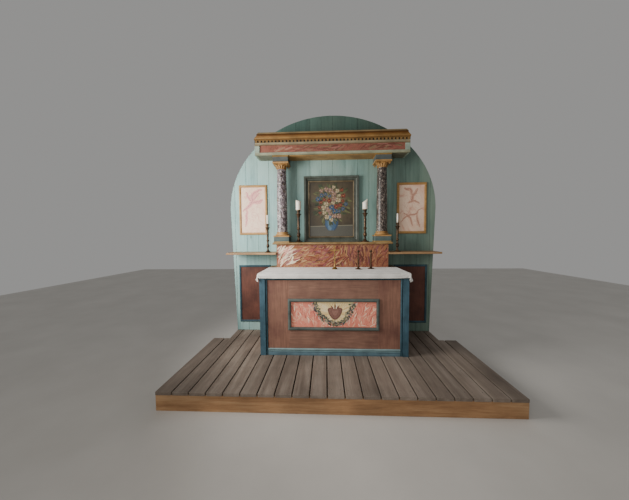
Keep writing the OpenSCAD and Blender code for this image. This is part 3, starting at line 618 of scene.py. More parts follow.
def buildCloth():
    low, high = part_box("altar_table")
    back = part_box("gradine_front")[0].y - 0.002
    top = high.z + cloth["gap"]
    left, right, frontFlat = low.x - cloth["leftEnd"], high.x + cloth["rightEnd"], low.y - cloth["front"]
    xs = [left + (right - left) * i / cloth["across"] for i in range(cloth["across"] + 1)]
    ys = [back + (frontFlat - back) * j / cloth["deep"] for j in range(cloth["deep"] + 1)]
    bm = bmesh.new()
    skinRows(bm, [[bm.verts.new((x, y, top)) for x in xs] for y in ys])
    piece = newPiece("linenCloth", bm, "linen", ("altar_cloth",), smooth=True)
    mesh = piece.data
    points = letFall(piece, low, high)
    for v, p in zip(mesh.vertices, points):
        if p.z > high.z:
            p.z = max(p.z, high.z + 0.0012) + clothCreases(v.co.x, v.co.y)
        v.co = p
    mesh.update()
    thick = piece.modifiers.new("hem", "SOLIDIFY")
    thick.thickness = cloth["thickness"]
    thick.offset = 0
    finer = piece.modifiers.new("finer", "SUBSURF")
    finer.levels = finer.render_levels = 1


buildCloth()
print("cloth draped")


# Brush strokes: short curved dabs over the marbled grounds, on the shelf front, the frieze and the panel
marbling = {
    "gradine": {
        "node": "gradine_front", "slot": "pink_marbling", "seed": 5, "count": 470,
        "length": (0.06, 0.17), "width": (0.011, 0.029),
        "heading": 0.9, "fan": 0.75, "wave": 4.4, "spread": 0.3, "bend": 1.1,
        "zones": [  # up to this x, these tones
            (-0.56, ["#dcc9ae", "#d8ab9a", "#c98574", "#e3d3b5", "#8f6260"]),
            (0.2, [
                "#967248", "#894c39", "#642b1f", "#a28059", "#7b4c23", "#7e4449", "#4e231a", "#885339",
                "#763929"]),
            (9.0, ["#834939", "#8a5343", "#71392c", "#946848", "#643126", "#754144", "#552b20", "#875936"]),
        ],
    },
    "frieze": {
        "node": "frieze_panel", "slot": "terracotta_marbling", "seed": 8, "count": 120,
        "length": (0.12, 0.34), "width": (0.010, 0.036),
        "heading": 0.3, "fan": 0.45, "wave": 5.2, "spread": 0.25, "bend": 0.9,
        "zones": [
            (-0.5, ["#9c6356", "#a67063", "#835040", "#8a7052", "#744638", "#995b4d", "#95735a"]),
            # painted shade: from x -0.5 rightwards the strokes take the left end's tones made darker
            (9.0, ["#8a5247", "#926054", "#734335", "#7a6146", "#673a2e", "#864d41", "#83634c"]),
        ],
    },
    "panel": {
        "node": "painted_panel", "seed": 15, "count": 260, "length": (0.03, 0.11), "width": (0.004, 0.012),
        "heading": 1.45, "fan": -0.45, "wave": 3.4, "spread": 0.5, "bend": 1.3,
        "zones": [(9.0, [
            "#f6cfaa", "#eeac95", "#cb7060", "#fae0c2", "#dd8c79", "#b85c50", "#f0bba3", "#e49a86"])],
    },
}


def startPainting():
    bm = bmesh.new()
    return bm, bm.verts.layers.float_color.new("tone")


def addStroke(bm, layer, points, width, y, tone, lift):
    # one dab: thin at both ends, its edges on the ground and its middle a little proud
    colour = linearColour(tone)
    rows = []
    last = len(points) - 1
    for i, (x, z) in enumerate(points):
        (x0, z0), (x1, z1) = points[max(i - 1, 0)], points[min(i + 1, last)]
        length = max(1e-6, math.hypot(x1 - x0, z1 - z0))
        half = width / 2 * (0.14 + 0.86 * math.sin(math.pi * (i + 0.4) / (last + 0.8)) ** 0.7)
        nx, nz = -(z1 - z0) / length * half, (x1 - x0) / length * half
        places = ((x + nx, y, z + nz), (x, y - lift, z), (x - nx, y, z - nz))
        row = [bm.verts.new(place) for place in places]
        for v in row:
            v[layer] = colour
        rows.append(row)
    for here, after in zip(rows, rows[1:]):
        for i in (0, 1):
            bm.faces.new((here[i], after[i], after[i + 1], here[i + 1]))


def brushLine(x, z, heading, bend, length, steps=8):
    points = [(x, z)]
    for i in range(steps):
        x += length / steps * math.cos(heading)
        z += length / steps * math.sin(heading)
        heading += bend / steps
        points.append((x, z))
    return points


def layStrokes(bm, layer, paint):
    rnd = random.Random(paint["seed"])
    low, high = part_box(paint["node"])
    for i in range(paint["count"]):
        x, z = rnd.uniform(low.x, high.x), rnd.uniform(low.z, high.z)
        fan = paint["fan"] * math.sin(paint["wave"] * x)
        heading = paint["heading"] + fan + rnd.uniform(-1, 1) * paint["spread"]
        length, width = rnd.uniform(*paint["length"]), rnd.uniform(*paint["width"])
        line = brushLine(x, z, heading, rnd.uniform(-1, 1) * paint["bend"], length)
        edge = width / 2 + 0.001
        line = [
            (px, pz) for px, pz in line
            if low.x + edge < px < high.x - edge and low.z + edge < pz < high.z - edge]
        tone = rnd.choice(next(tones for until, tones in paint["zones"] if x < until))
        if len(line) > 3:
            addStroke(bm, layer, line, width, low.y, tone, rnd.uniform(0.0003, 0.0009))


def buildStrokes():
    for name in ("gradine", "frieze"):
        bm, layer = startPainting()
        layStrokes(bm, layer, marbling[name])
        newPiece(name + "Strokes", bm, "ornamentPaint")


# Painted panel: a cream field inside a leaf garland, with a heart and rays
panel = {
    "garland": [  # x from the middle, and the drop from the top
        (-0.222, 0.0), (-0.208, 0.045), (-0.193, 0.085), (-0.160, 0.139), (-0.116, 0.187), (-0.050, 0.232),
        (0.031, 0.256), (0.100, 0.240), (0.146, 0.196), (0.175, 0.139), (0.198, 0.085), (0.216, 0.040),
        (0.232, 0.0),
    ],
    "leaves": 300, "leafLength": (0.020, 0.036), "leafWidth": (0.36, 0.55), "bandWidth": 0.046,
    "berries": 34, "berryRadius": (0.002, 0.0045), "glints": 30, "glintLength": (0.012, 0.03),
    "rays": 54, "rayStarts": 0.07, "rayReach": 0.27, "rayWidth": (0.003, 0.007), "raySpare": 0.012,
    "margin": 0.0008,
    "heart": (0.019, 0.138), "heartWidth": 0.168, "heartHeight": 0.142, "heartShares": (1.0, 0.88, 0.42),
    # each flame's lean, length and tone
    "flames": ((-0.95, 0.05, 0), (-0.5, 0.045, 1), (0.0, 0.062, 0), (0.5, 0.045, 1), (0.95, 0.055, 0)),
    "cream": "#e8cc95", "rayTones": ["#f0e0b9", "#c79d54", "#e6cd94", "#d6b273"],
    "leafTones": [
        "#54554b", "#3d3f39", "#77776a", "#2f302b", "#938d79", "#4c5b3b", "#464150", "#7a6c52", "#a59a7e"],
    "glintTones": ["#d9c9c4", "#cdbfc6", "#e2cfb6"], "berryTones": ["#6f3d34", "#a9a08c", "#3c3a3a"],
    "heartTones": ["#65413a", "#7c554b", "#8d665a"], "flameTones": ["#6d3a2e", "#ead9b8"],
}
# half of the heart: height from its middle, then half its width there
heartSide = [
    (-0.5, 0.0), (-0.46, 0.12), (-0.34, 0.24), (-0.16, 0.36), (0.04, 0.44), (0.24, 0.49), (0.36, 0.5),
    (0.46, 0.44), (0.5, 0.3), (0.47, 0.14)]
heartCleft = 0.42


def addFlatShape(bm, points, y, tone, layer, lift=0.0005):
    # a thin painted shape: its face lies a little proud and its rim drops to the ground
    count = len(points)
    centre = (sum(x for x, z in points) / count, y - lift * 1.6, sum(z for x, z in points) / count)
    rim = [bm.verts.new((x, y - lift, z)) for x, z in points]
    foot = [bm.verts.new((x, y, z)) for x, z in points]
    middle = bm.verts.new(centre)
    colour = linearColour(tone)
    for v in rim + foot + [middle]:
        v[layer] = colour
    for i in range(count):
        j = (i + 1) % count
        bm.faces.new((middle, rim[i], rim[j]))
        bm.faces.new((rim[i], foot[i], foot[j], rim[j]))


def leafOutline(x, z, length, width, angle, steps=5):
    cos, sin = math.cos(angle), math.sin(angle)
    points = []
    for i in range(2 * steps):
        t = i / steps
        share = t if t <= 1 else 2 - t
        side = (1 if t <= 1 else -1) * width * math.sin(math.pi * min(1, max(0, share)) ** 0.8) / 2
        if i in (0, steps):
            side = 0
        a = share * length
        points.append((x + a * cos - side * sin, z + a * sin + side * cos))
    return points


def roundOutline(x, z, radius, steps):
    turns = [2 * math.pi * i / steps for i in range(steps)]
    return [(x + radius * math.cos(a), z + radius * math.sin(a)) for a in turns]


def heartOutline(x, z, width, height):
    # broad flat shoulders, a shallow cleft and full sides
    right = [(x + w * width, z + h * height) for h, w in heartSide]
    left = [(x - w * width, z + h * height) for h, w in heartSide[:0:-1]]
    return right + [(x, z + heartCleft * height)] + left


def pointOnLine(line, share):
    lengths = [math.dist(a, b) for a, b in zip(line, line[1:])]
    left = share * sum(lengths)
    for (a, b), length in zip(zip(line, line[1:]), lengths):
        if left <= length:
            t = left / length
            return a[0] + (b[0] - a[0]) * t, a[1] + (b[1] - a[1]) * t, math.atan2(b[1] - a[1], b[0] - a[0])
        left -= length
    return (*line[-1], 0.0)


def besideLine(line, share, off):
    # a point at this distance beside the line, and the line's direction there
    x, z, way = pointOnLine(line, share)
    return x - off * math.sin(way), z + off * math.cos(way), way


def insideShape(shape, x, z):
    crossings = 0
    for (x0, z0), (x1, z1) in zip(shape, shape[1:] + shape[:1]):
        if (z0 > z) != (z1 > z) and x < x0 + (x1 - x0) * (z - z0) / (z1 - z0):
            crossings += 1
    return crossings % 2 == 1


def layRays(bm, layer, rnd, field, hx, hz, y):
    # rays from the heart, each as long as the field lets it be
    for i in range(panel["rays"]):
        a = 2 * math.pi * (i + rnd.uniform(-0.2, 0.2)) / panel["rays"]
        near, far, spare = panel["rayStarts"], panel["rayReach"], panel["raySpare"]
        cos, sin = math.cos(a), math.sin(a)
        while far > near and not insideShape(field, hx + (far + spare) * cos, hz + (far + spare) * sin):
            far -= spare / 2
        if far - near > spare:
            line = brushLine(hx + near * cos, hz + near * sin, a, rnd.uniform(-0.1, 0.1), far - near, 5)
            width = rnd.uniform(*panel["rayWidth"])
            addStroke(bm, layer, line, width, y, rnd.choice(panel["rayTones"]), 0.0003)


def buildPanelOrnament():
    rnd = random.Random(11)
    low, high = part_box("painted_panel")
    top, y = high.z, low.y
    bm, layer = startPainting()
    layStrokes(bm, layer, marbling["panel"])
    field = [(x, top - 0.0005 - drop) for x, drop in panel["garland"]]
    addFlatShape(bm, field, y - 0.0008, panel["cream"], layer, 0.0003)
    hx, hz = panel["heart"][0], top - panel["heart"][1]
    layRays(bm, layer, rnd, field, hx, hz, y - 0.0012)

    def fits(shape, margin=panel["margin"]):
        return max(z for x, z in shape) < top - margin and min(z for x, z in shape) > low.z + margin

    for i in range(panel["leaves"]):
        share = (i + rnd.random()) / panel["leaves"]
        off = rnd.uniform(-0.5, 0.5) * panel["bandWidth"]
        x, z, way = besideLine(field, share, off)
        length = rnd.uniform(*panel["leafLength"])
        width = length * rnd.uniform(*panel["leafWidth"])
        # the leaves point down the garland on both sides and splay out from its middle
        down, side = (way, 1) if x < hx else (way + math.pi, -1)
        leaf = leafOutline(x, z, length, width, down + off * 22 * side + rnd.uniform(-0.6, 0.6))
        if fits(leaf):
            addFlatShape(bm, leaf, y - 0.001 - 0.0006 * rnd.random(), rnd.choice(panel["leafTones"]), layer)
    for i in range(panel["glints"]):
        # pale dabs along the outer side of the garland
        share = (i + rnd.random()) / panel["glints"]
        x, z, way = besideLine(field, share, -rnd.uniform(0.5, 0.8) * panel["bandWidth"])
        length, width = rnd.uniform(*panel["glintLength"]), rnd.uniform(0.005, 0.009)
        dab = leafOutline(x, z, length, width, way + rnd.uniform(-0.5, 0.5))
        if fits(dab):
            addFlatShape(bm, dab, y - 0.0012, rnd.choice(panel["glintTones"]), layer, 0.0004)
    for i in range(panel["berries"]):
        x, z, _ = pointOnLine(field, rnd.random())
        x, z = x + rnd.uniform(-0.016, 0.016), z + rnd.uniform(-0.012, 0.012)
        dot = roundOutline(x, z, rnd.uniform(*panel["berryRadius"]), 8)
        if fits(dot, 0.001):
            addFlatShape(bm, dot, y - 0.002, rnd.choice(panel["berryTones"]), layer, 0.0004)
    for i, (share, tone) in enumerate(zip(panel["heartShares"], panel["heartTones"])):
        outline = heartOutline(hx, hz + 0.004 * i, panel["heartWidth"] * share, panel["heartHeight"] * share)
        addFlatShape(bm, outline, y - 0.0014 - 0.0005 * i, tone, layer)
    crown = hz + panel["heartHeight"] * 0.38
    for lean, reach, tone in panel["flames"]:
        flame = leafOutline(hx + 0.022 * math.sin(lean), crown, reach, 0.017, math.pi / 2 - lean * 0.7)
        flame = [(px, min(pz, top - 0.001)) for px, pz in flame]
        addFlatShape(bm, flame, y - 0.0022 - 0.0003 * (1 - tone), panel["flameTones"][tone], layer, 0.0004)
    newPiece("panelOrnament", bm, "ornamentPaint")


# Side panels: broad soft veins, each with a paler halo; points are shares of the panel's width and height
sideVeins = {
    "width": 0.012, "halo": 0.062, "jitter": 0.006, "step": 0.016, "fine": 16, "fineWidth": 0.0028,
    "border": 0.02,
    "middle": 1.116,  # each panel's middle from the middle of the altar
    "left": {
        "tones": ("#d99a91", "#b4707a", "#c98f88"), "weight": 1.0,
        "lines": [
            [(0.01, 0.47), (0.18, 0.545), (0.41, 0.65), (0.49, 0.71), (0.46, 0.83), (0.55, 0.89),
             (0.75, 0.955), (0.96, 0.985)],
            [(0.45, 0.67), (0.69, 0.68), (0.82, 0.70), (0.97, 0.745)],
            [(0.49, 0.71), (0.35, 0.74), (0.24, 0.83), (0.18, 0.93)],
            [(0.06, 0.51), (0.2, 0.5), (0.21, 0.44), (0.15, 0.35), (0.18, 0.26), (0.12, 0.1)],
            [(0.47, 0.74), (0.62, 0.79), (0.68, 0.86), (0.84, 0.89)],
        ],
    },
    "right": {
        "tones": ("#cd9f89", "#a57162", "#bb8873"), "weight": 0.75,
        "lines": [
            [(0.78, 0.955), (0.67, 0.865), (0.53, 0.77), (0.5, 0.65), (0.33, 0.62)],
            [(0.14, 0.955), (0.44, 0.925), (0.53, 0.79)],
            [(0.44, 0.655), (0.67, 0.66), (0.88, 0.6)],
            [(0.99, 0.485), (0.83, 0.455), (0.72, 0.365), (0.53, 0.35), (0.28, 0.32), (0.14, 0.26),
             (0.03, 0.18)],
            [(0.11, 0.39), (0.28, 0.35), (0.42, 0.27), (0.5, 0.2), (0.55, 0.08)],
            [(0.72, 0.365), (0.75, 0.29), (0.78, 0.2), (0.9, 0.06)],
        ],
    },
}


def wander(line, rnd):
    # the same line in short steps, a little out of true
    total = sum(math.dist(a, b) for a, b in zip(line, line[1:]))
    count = max(4, round(total / sideVeins["step"]))
    points = [pointOnLine(line, i / count)[:2] for i in range(count + 1)]
    shift = sideVeins["jitter"]
    return [(x + rnd.uniform(-shift, shift), z + rnd.uniform(-shift, shift)) for x, z in points]


def buildSideVeins():
    rnd = random.Random(41)
    low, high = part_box("side_panels")
    border = sideVeins["border"]
    half = high.x - sideVeins["middle"]
    z0, width, height = low.z + border, 2 * half - 2 * border, high.z - low.z - 2 * border
    bm, layer = startPainting()
    for side, centre in (("left", -sideVeins["middle"]), ("right", sideVeins["middle"])):
        x0 = centre - half + border
        halo, strong, faint = sideVeins[side]["tones"]
        weight = sideVeins[side]["weight"]
        for order, shares in enumerate(sideVeins[side]["lines"]):
            haloWidth = sideVeins["halo"] * weight * (1 if order < 2 else 0.6)
            veinWidth = sideVeins["width"] * weight * (1 if order < 2 else 0.75)
            line = wander([(x0 + width * a, z0 + height * b) for a, b in shares], rnd)
            addStroke(bm, layer, line, haloWidth, low.y, halo, 0.0003)
            addStroke(bm, layer, wander(line, rnd), veinWidth, low.y - 0.0002, strong, 0.0004)
        for i in range(sideVeins["fine"]):
            x, z = x0 + width * rnd.uniform(0.05, 0.95), z0 + height * rnd.uniform(0.05, 0.95)
            line = brushLine(x, z, rnd.uniform(0, math.pi), rnd.uniform(-1.4, 1.4), rnd.uniform(0.05, 0.13))
            line = [p for p in wander(line, rnd) if x0 < p[0] < x0 + width and z0 < p[1] < z0 + height]
            if len(line) > 3:
                addStroke(bm, layer, line, sideVeins["fineWidth"], low.y - 0.0001, faint, 0.0003)
    newPiece("sideVeins", bm, "ornamentPaint")


# The painting: a bouquet in a jug on a ledge, thick oil colour over a dark ground
painting = {
    "margin": 0.004, "bloomHeight": 0.47, "ledgeLeft": 0.135, "ledgeRight": 0.15, "ledgeEdge": 0.012,
    "ledgeTone": "#484740", "edgeTone": "#6a6758",
    "leaves": 150, "leafReach": 0.235, "leafLength": (0.05, 0.09), "leafWidth": (0.016, 0.03),
    "leafTones": ["#464b31", "#333b28", "#5a5c3b", "#282f20"],
    "flowers": 38, "flowerReach": 0.215, "flowerSize": (0.026, 0.042), "petals": (7, 11),
    "heartTone": "#8d6f33",
    "flowerTones": [
        ["#94866c", "#ad9f82", "#73664f"], ["#622822", "#7a3a2e", "#49201b"],
        ["#2e425a", "#3f5871", "#233145"], ["#80635a", "#99806f", "#5f4743"]],
    # the jug: its foot's height, its profile as height and radius, and each coat's share of the width
    "jugFoot": 0.085,
    "jug": [
        (0.0, 0.045), (0.02, 0.062), (0.07, 0.092), (0.12, 0.098), (0.17, 0.078), (0.2, 0.05), (0.225, 0.048),
        (0.245, 0.062)],
    "jugCoats": ((1.0, "#263a52"), (0.8, "#344d68"), (0.34, "#4f687c")),
    "ground": ("#6d6046", "#453c2c", "#241f1a"), "groundReach": 0.5,
}
goldenTurn = 2.39996


def groundPaintingFinish(name, centre):
    # dark brown and olive ground of the painting, lighter behind the bouquet
    tree, shader, where = startMaterial(name, 0.38)
    away = addNode(tree, "ShaderNodeVectorMath", {0: where, 1: centre}, operation="DISTANCE").outputs["Value"]
    share = mathStep(tree, "DIVIDE", away, painting["groundReach"])
    fade = colourRamp(tree, share, list(zip((0.1, 0.55, 1.0), painting["ground"])))
    strokes = streaks(tree, where, (18, 18, 9), 6, 0.65, 0.8, (0, 0.6, 0))
    colour = brushed(tree, fade, strokes, 0.5, [(0.3, 0.3), (0.7, 0.75)])
    setSurface(tree, shader, colour, strokes, 0.25, 0.0006)


def buildPainting():
    rnd = random.Random(23)
    low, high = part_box("picture_panel")
    y, middleX = low.y, (low.x + high.x) / 2
    bm, layer = startPainting()
    inset, margin = 0.003, painting["margin"]

    def inside(points):
        return all(
            low.x + margin < x < high.x - margin and low.z + margin < z < high.z - margin for x, z in points)

    def band(left0, right0, left1, right1):
        # corners of a strip across the painting, from its lower to its upper edge at both ends
        x0, x1 = low.x + inset, high.x - inset
        return [(x0, low.z + left0), (x1, low.z + right0), (x1, low.z + right1), (x0, low.z + left1)]

    left, right, thick = painting["ledgeLeft"], painting["ledgeRight"], painting["ledgeEdge"]
    addFlatShape(bm, band(inset, inset, left, right), y, painting["ledgeTone"], layer, 0.0003)
    edge = band(left, right, left + thick, right + thick)
    addFlatShape(bm, edge, y - 0.0002, painting["edgeTone"], layer, 0.0003)
    for i, (share, tone) in enumerate(painting["jugCoats"]):
        x, z = middleX - 0.03 * (1 - share), low.z + painting["jugFoot"]
        outline = [(x + r * share, z + h) for h, r in painting["jug"]]
        outline += [(x - r * share, z + h) for h, r in painting["jug"][::-1]]
        addFlatShape(bm, outline, y - 0.0006 - 0.0004 * i, tone, layer, 0.0003)
    bloomX, bloomZ = middleX, low.z + painting["bloomHeight"]
    for i in range(painting["leaves"]):
        a = rnd.uniform(0, 2 * math.pi)
        r = painting["leafReach"] * math.sqrt(rnd.uniform(0.02, 1.0))
        x, z = bloomX + r * math.cos(a) * 1.02, bloomZ + r * math.sin(a) * 1.15
        length, width = rnd.uniform(*painting["leafLength"]), rnd.uniform(*painting["leafWidth"])
        leaf = leafOutline(x, z, length, width, a + rnd.uniform(-0.5, 0.5))
        if inside(leaf):
            lie = y - 0.0016 - 0.0006 * rnd.random()
            addFlatShape(bm, leaf, lie, rnd.choice(painting["leafTones"]), layer)
    for i in range(painting["flowers"]):
        a = i * goldenTurn
        r = painting["flowerReach"] * math.sqrt((i + 0.5) / painting["flowers"])
        x, z = bloomX + r * math.cos(a), bloomZ + r * math.sin(a) * 1.12
        tones = painting["flowerTones"][i % 4]
        size = rnd.uniform(*painting["flowerSize"])
        count = rnd.randint(*painting["petals"])
        for ring, share in ((0, 1.0), (1, 0.62)):
            for k in range(count):
                b = 2 * math.pi * (k + 0.5 * ring) / count + rnd.uniform(-0.15, 0.15)
                petal = leafOutline(x, z, size * share, size * share * 0.62, b)
                if inside(petal):
                    lie = y - 0.0026 - 0.0009 * ring - 0.0001 * k
                    addFlatShape(bm, petal, lie, tones[(k + ring) % 3], layer, 0.0004)
        addFlatShape(bm, roundOutline(x, z, size * 0.2, 10), y - 0.0046, painting["heartTone"], layer)
    newPiece("paintedBouquet", bm, "oilPaint")
    groundPaintingFinish("paintingGround", (bloomX, y, bloomZ))


buildStrokes()
buildPanelOrnament()
buildSideVeins()
buildPainting()
print("paintings made")


# Capitals: a ring of small leaves on each bell, and a scroll under each corner of the slab
capital = {
    "neck": 0.061, "flare": 0.039, "bellStarts": 0.0264, "bellRise": 0.032,
    "leaves": 12, "leafStarts": 0.0115, "leafHeight": 0.041, "leafHalf": 0.0135,
    "leafRib": 0.0032, "leafBody": 0.0016,
    "scroll": 0.0135, "scrollX": 0.080, "scrollY": 0.081, "scrollBand": 0.009, "scrollThick": 0.0036,
    "turns": 1.5, "steps": 26, "canal": 0.045, "slab": 0.066,
}


def bellRadius(height):
    rise = min(max(height - capital["bellStarts"], 0.0), capital["bellRise"])
    return capital["neck"] + capital["flare"] - math.sqrt(capital["flare"] ** 2 - rise ** 2)


def addCapitalLeaves(bm, foot):
    # how far the last rows of each leaf stand out, and how far its tip drops
    tip, bend = {7: 0.008, 6: 0.0045}, {7: 0.003}
    for k in range(capital["leaves"]):
        a = 2 * math.pi * (k + 0.5) / capital["leaves"]
        out, across = Vector((math.cos(a), math.sin(a), 0)), Vector((-math.sin(a), math.cos(a), 0))
        rows = []
        for j in range(8):
            t = j / 7
            height = capital["leafStarts"] + capital["leafHeight"] * t - bend.get(j, 0)
            radius = bellRadius(height) + 0.0012 + tip.get(j, 0)
            half = capital["leafHalf"] * math.sin(math.pi * (0.2 + 0.76 * t)) + 0.0008
            centre = foot + Vector((0, 0, height)) + out * radius
            places = (centre - across * half, centre + out * capital["leafRib"], centre + across * half)
            rows.append([bm.verts.new(place) for place in places])
        skinRows(bm, rows)


def addScroll(bm, foot, sx, face):
    # a band that runs out under the slab and curls in on itself
    steps, radius, band = capital["steps"], capital["scroll"], capital["scrollBand"]
    eye = Vector((sx * capital["scrollX"], face * capital["scrollY"], capital["slab"] - radius - 0.003))
    centre = foot + eye
    path = [centre + Vector((-sx * capital["canal"] * (1 - i / 4), 0, radius)) for i in range(4)]
    for i in range(steps):
        t = i / (steps - 1)
        r, b = radius * (1 - 0.78 * t), math.pi / 2 - sx * 2 * math.pi * capital["turns"] * t
        path.append(centre + Vector((r * math.cos(b), 0.003 * t * face, r * math.sin(b))))
    rings = []
    corners = [math.pi * q / 4 for q in range(8)]
    for i, p in enumerate(path):
        ahead = (path[min(i + 1, len(path) - 1)] - path[max(i - 1, 0)]).normalized()
        wide = Vector((0, 1, 0))
        thick = ahead.cross(wide).normalized()
        w = capital["scrollThick"] * (1 - 0.4 * i / len(path))
        places = [p + wide * (band * math.cos(c)) + thick * (w * math.sin(c)) for c in corners]
        rings.append([bm.verts.new(place) for place in places])
    skinRows(bm, rings, closed=True)
    bm.faces.new(rings[0][::-1])
    bm.faces.new(rings[-1])


def buildCapitalCarving():
    for side in ("left", "right"):
        low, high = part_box(side + "_column_capital")
        foot = Vector(((low.x + high.x) / 2, (low.y + high.y) / 2, low.z))
        bm = bmesh.new()
        addCapitalLeaves(bm, foot)
        leaves = newPiece(side + "CapitalLeaves", bm, "ochre", smooth=True)
        leaves.modifiers.new("body", "SOLIDIFY").thickness = capital["leafBody"]
        bm = bmesh.new()
        for sx in (-1, 1):
            for face in (-1, 1):
                addScroll(bm, foot, sx, face)
        newPiece(side + "CapitalScrolls", bm, "ochre", smooth=True)


# Candles: melted rims and wicks, turned a little out of true
candles = {
    "steps": 40, "wick": 0.0016, "wickShows": 0.014, "spareTop": 0.006, "uneven": 0.012,
    # how far one side of each rim stands over the other, and which way it stands, left and right
    "thickTilt": (0.016, 0.040), "thickWay": (2.6, 0.3), "taperTilt": (0.002, 0.002), "taperWay": (0.5, 4.0),
    # share of the height, then share of the radius, over the rim and down into the dish
    "profile": [
        (0.0, 1.0), (0.12, 1.0), (0.5, 0.995), (0.85, 1.0), (1.0, 0.985), (1.0, 0.86),
        (0.93, 0.62), (0.9, 0.0)],
}


def addCandle(bm, wicks, cx, cy, z0, z1, radius, tilt, lean, seed):
    rnd = random.Random(seed)
    steps = candles["steps"]
    body = z1 - z0 - candles["spareTop"] - tilt
    rings = []
    for share, wide in candles["profile"]:
        ring = []
        for i in range(steps if wide else 1):
            a = 2 * math.pi * i / steps
            rim = 0
            if share > 0.85:
                rim = tilt * ((1 + math.cos(a - lean)) / 2) ** 1.6 * (1 if wide > 0.8 else 0.4)
            spot = Vector((math.cos(a) * 1.5, math.sin(a) * 1.5, share * 3 + seed))
            r = radius * (wide + (candles["uneven"] * noise.noise(spot) if share > 0 else 0))
            ring.append(bm.verts.new((cx + r * math.cos(a), cy + r * math.sin(a), z0 + body * share + rim)))
        rings.append(ring)
    skinRows(bm, rings, closed=True)
    bm.faces.new(rings[0][::-1])
    foot = z0 + body * 0.9 + 0.12 * tilt  # the wick stands in the dish
    tall = z0 + body - foot + candles["wickShows"]
    place = Matrix.Translation((cx, cy, foot + tall / 2)) @ Matrix.Rotation(rnd.uniform(-0.12, 0.12), 4, "X")
    bmesh.ops.create_cone(
        wicks, cap_ends=True, segments=8, radius1=candles["wick"], radius2=candles["wick"] * 0.6, depth=tall,
        matrix=place)


# Candlesticks turned in one piece: share of the height, then share of the foot's radius
stick = {
    "profile": [
        (0.0, 0.0), (0.0, 1.0), (0.012, 1.0), (0.02, 0.94), (0.03, 0.73), (0.045, 0.56), (0.068, 0.4),
        (0.1, 0.29), (0.132, 0.24), (0.16, 0.27), (0.178, 0.35), (0.192, 0.43), (0.223, 0.46),
        (0.254, 0.45), (0.28, 0.38),
        (0.295, 0.29), (0.36, 0.28), (0.39, 0.3), (0.402, 0.4), (0.42, 0.44), (0.438, 0.4), (0.45, 0.3),
        (0.478, 0.29), (0.59, 0.33), (0.7, 0.35), (0.745, 0.3), (0.768, 0.26), (0.782, 0.33), (0.808, 0.42),
        (0.84, 0.46), (0.85, 0.5), (0.856, 0.62), (0.868, 0.73), (0.878, 0.75), (0.879, 0.71), (0.868, 0.58),
        (0.868, 0.36), (0.885, 0.34), (0.92, 0.35), (0.96, 0.4), (0.978, 0.47), (1.0, 0.49), (1.0, 0.0),
    ],
    "steps": 28,
}


def addStick(bm, cx, cy, foot, height, radius):
    rings = []
    for share, wide in stick["profile"]:
        turns = [2 * math.pi * i / stick["steps"] for i in range(stick["steps"])] if wide else [0]
        z, r = foot + height * share, radius * wide
        rings.append([bm.verts.new((cx + r * math.cos(a), cy + r * math.sin(a), z)) for a in turns])
    skinRows(bm, rings, closed=True)


def buildSticks():
    for name, node in (("tallSticks", "tall_candlesticks"), ("slimSticks", "slim_candlesticks")):
        low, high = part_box(node)
        radius = (high.y - low.y) / 2
        bm = bmesh.new()
        for x in (low.x + radius, high.x - radius):
            addStick(bm, x, (low.y + high.y) / 2, low.z, high.z - low.z, radius)
        newPiece(name, bm, "darkBronze", (node,), smooth=True)


def buildCandles():
    for name, node, kind in (("meltedCandles", "thick_candles", "thick"), ("slimTapers", "tapers", "taper")):
        low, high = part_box(node)
        radius = (high.y - low.y) / 2
        bm, wicks = bmesh.new(), bmesh.new()
        for side, x in enumerate((low.x + radius, high.x - radius)):
            tilt, way = candles[kind + "Tilt"][side], candles[kind + "Way"][side]
            addCandle(bm, wicks, x, (low.y + high.y) / 2, low.z, high.z, radius, tilt, way, side + len(name))
        newPiece(name, bm, "wax", (node,), smooth=True)
        newPiece(name + "Wicks", wicks, "iron")


buildCapitalCarving()
buildSticks()
buildCandles()
print("candles and carving made")


# Finishes of the pieces that keep their solids
nodeFinishes = {
    "riserPine": "riser_board", "rawWood": "joists altar_table", "battenWood": "back_battens",
    "shelfWood": "left_shelf right_shelf", "steelBlue": "altar_posts", "railBands": "base_rail",
    "darkTeal": "post_beads top_rail wainscot_mouldings", "greyTeal": "panel_moulding",
    "brownRed": "front_stiles altar_sides", "brownRedWide": "front_boards", "wainscotRed": "wainscot_panels",
    "salmonMarble": "painted_panel", "gradineMarble": "gradine_front", "gradineEdge": "gradine_top",
    "paleGreen": "gradine_ends entablature_ends",
    "flecked": "left_column_shaft", "fleckedDarkAndShaded": "right_column_shaft",
    "ochre": (
        "left_column_base right_column_base left_column_capital right_column_capital "
        "soffit_panel side_frames"),
    "baseBlock": "base_blocks", "capitalBlock": "capital_blocks", "soffitPaint": "soffit_board",
    "friezeFrame": "frieze_frame", "terracottaMarble": "frieze_panel", "nearBlackGapShade": "dentil_ground",
    "toothOchreShaded": "dentils", "corniceBands": "cornice", "frameTeal": "picture_frame",
    "slipPaint": "picture_slip",
    "paintingGround": "picture_panel", "paleMarble": "side_panels", "darkBronze": "low_candlesticks",
    "dullBrass": "standing_cross",
}
for finish, nodes in nodeFinishes.items():
    for node in nodes.split():
        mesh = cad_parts[node].data
        mesh.materials.clear()
        mesh.materials.append(finishes[finish])
print("solids finished")


# Floor, light and camera

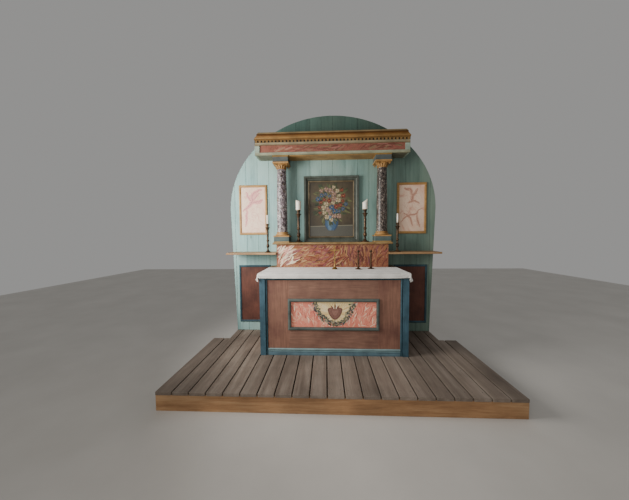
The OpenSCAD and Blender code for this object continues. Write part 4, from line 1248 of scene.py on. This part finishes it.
floorHalf, floorTop = 9, -0.0005
floorMesh = bpy.data.meshes.new("floor")
floorCorners = [(x * floorHalf, y * floorHalf, floorTop) for x, y in ((-1, -1), (1, -1), (1, 1), (-1, 1))]
floorMesh.from_pydata(floorCorners, [], [(0, 1, 2, 3)])
floor = bpy.data.objects.new("floor", floorMesh)
bpy.context.scene.collection.objects.link(floor)
tree, shader, where = startMaterial("paleFloor", 0.85, specular=0.2)
floorColour = colourRamp(tree, clouds(tree, where, 1.5), [(0.3, "#c9c6c1"), (0.7, "#d2cfca")])
tree.links.new(floorColour, shader.inputs["Base Color"])
floorMesh.materials.append(finishes["paleFloor"])

lights = {
    # name: place, aim, size, watts, colour, spread in degrees
    "leftLamp": ((-2.4, -0.85, 2.02), (0.2, 0.6, 1.6), 1.3, 54, (1.0, 0.97, 0.92), 112),
    "roomFill": ((-1.3, -4.3, 2.4), (0.0, 0.4, 1.1), 3.0, 24, (1.0, 0.95, 0.88), 180),
    "floorBounce": ((-0.3, -2.7, 0.8), (0.0, 0.2, 0.7), 1.1, 6, (1.0, 0.94, 0.86), 140),
}
for name, (place, aim, size, watts, tint, spread) in lights.items():
    lamp = bpy.data.lights.new(name, "AREA")
    lamp.size, lamp.energy, lamp.color, lamp.spread = size, watts, tint, math.radians(spread)
    holder = bpy.data.objects.new(name, lamp)
    holder.location = place
    holder.rotation_euler = (Vector(aim) - Vector(place)).to_track_quat("-Z", "Y").to_euler()
    bpy.context.scene.collection.objects.link(holder)
studio = {"colour": (0.93, 0.92, 0.9, 1), "strength": 0.33}
world = bpy.data.worlds.new("studio")
world.use_nodes = True
world.node_tree.nodes["Background"].inputs[0].default_value = studio["colour"]
world.node_tree.nodes["Background"].inputs[1].default_value = studio["strength"]
bpy.context.scene.world = world

# The camera's place and aim, fitted to the photograph; angles in degrees
shot = {"place": (-0.084, -2.84, 1.542), "lens": 14.25, "film": 36, "yaw": 2.56, "pitch": 3.09, "roll": -0.47}
camera = bpy.data.cameras.new("camera")
camera.lens, camera.sensor_width = shot["lens"], shot["film"]
cameraHolder = bpy.data.objects.new("camera", camera)
turn = Matrix.Identity(4)
for angle, axis in ((shot["yaw"], "Z"), (90 - shot["pitch"], "X"), (shot["roll"], "Z")):
    turn = turn @ Matrix.Rotation(math.radians(angle), 4, axis)
cameraHolder.matrix_world = Matrix.Translation(shot["place"]) @ turn
bpy.context.scene.collection.objects.link(cameraHolder)
bpy.context.scene.camera = cameraHolder
print("floor, light and camera set")
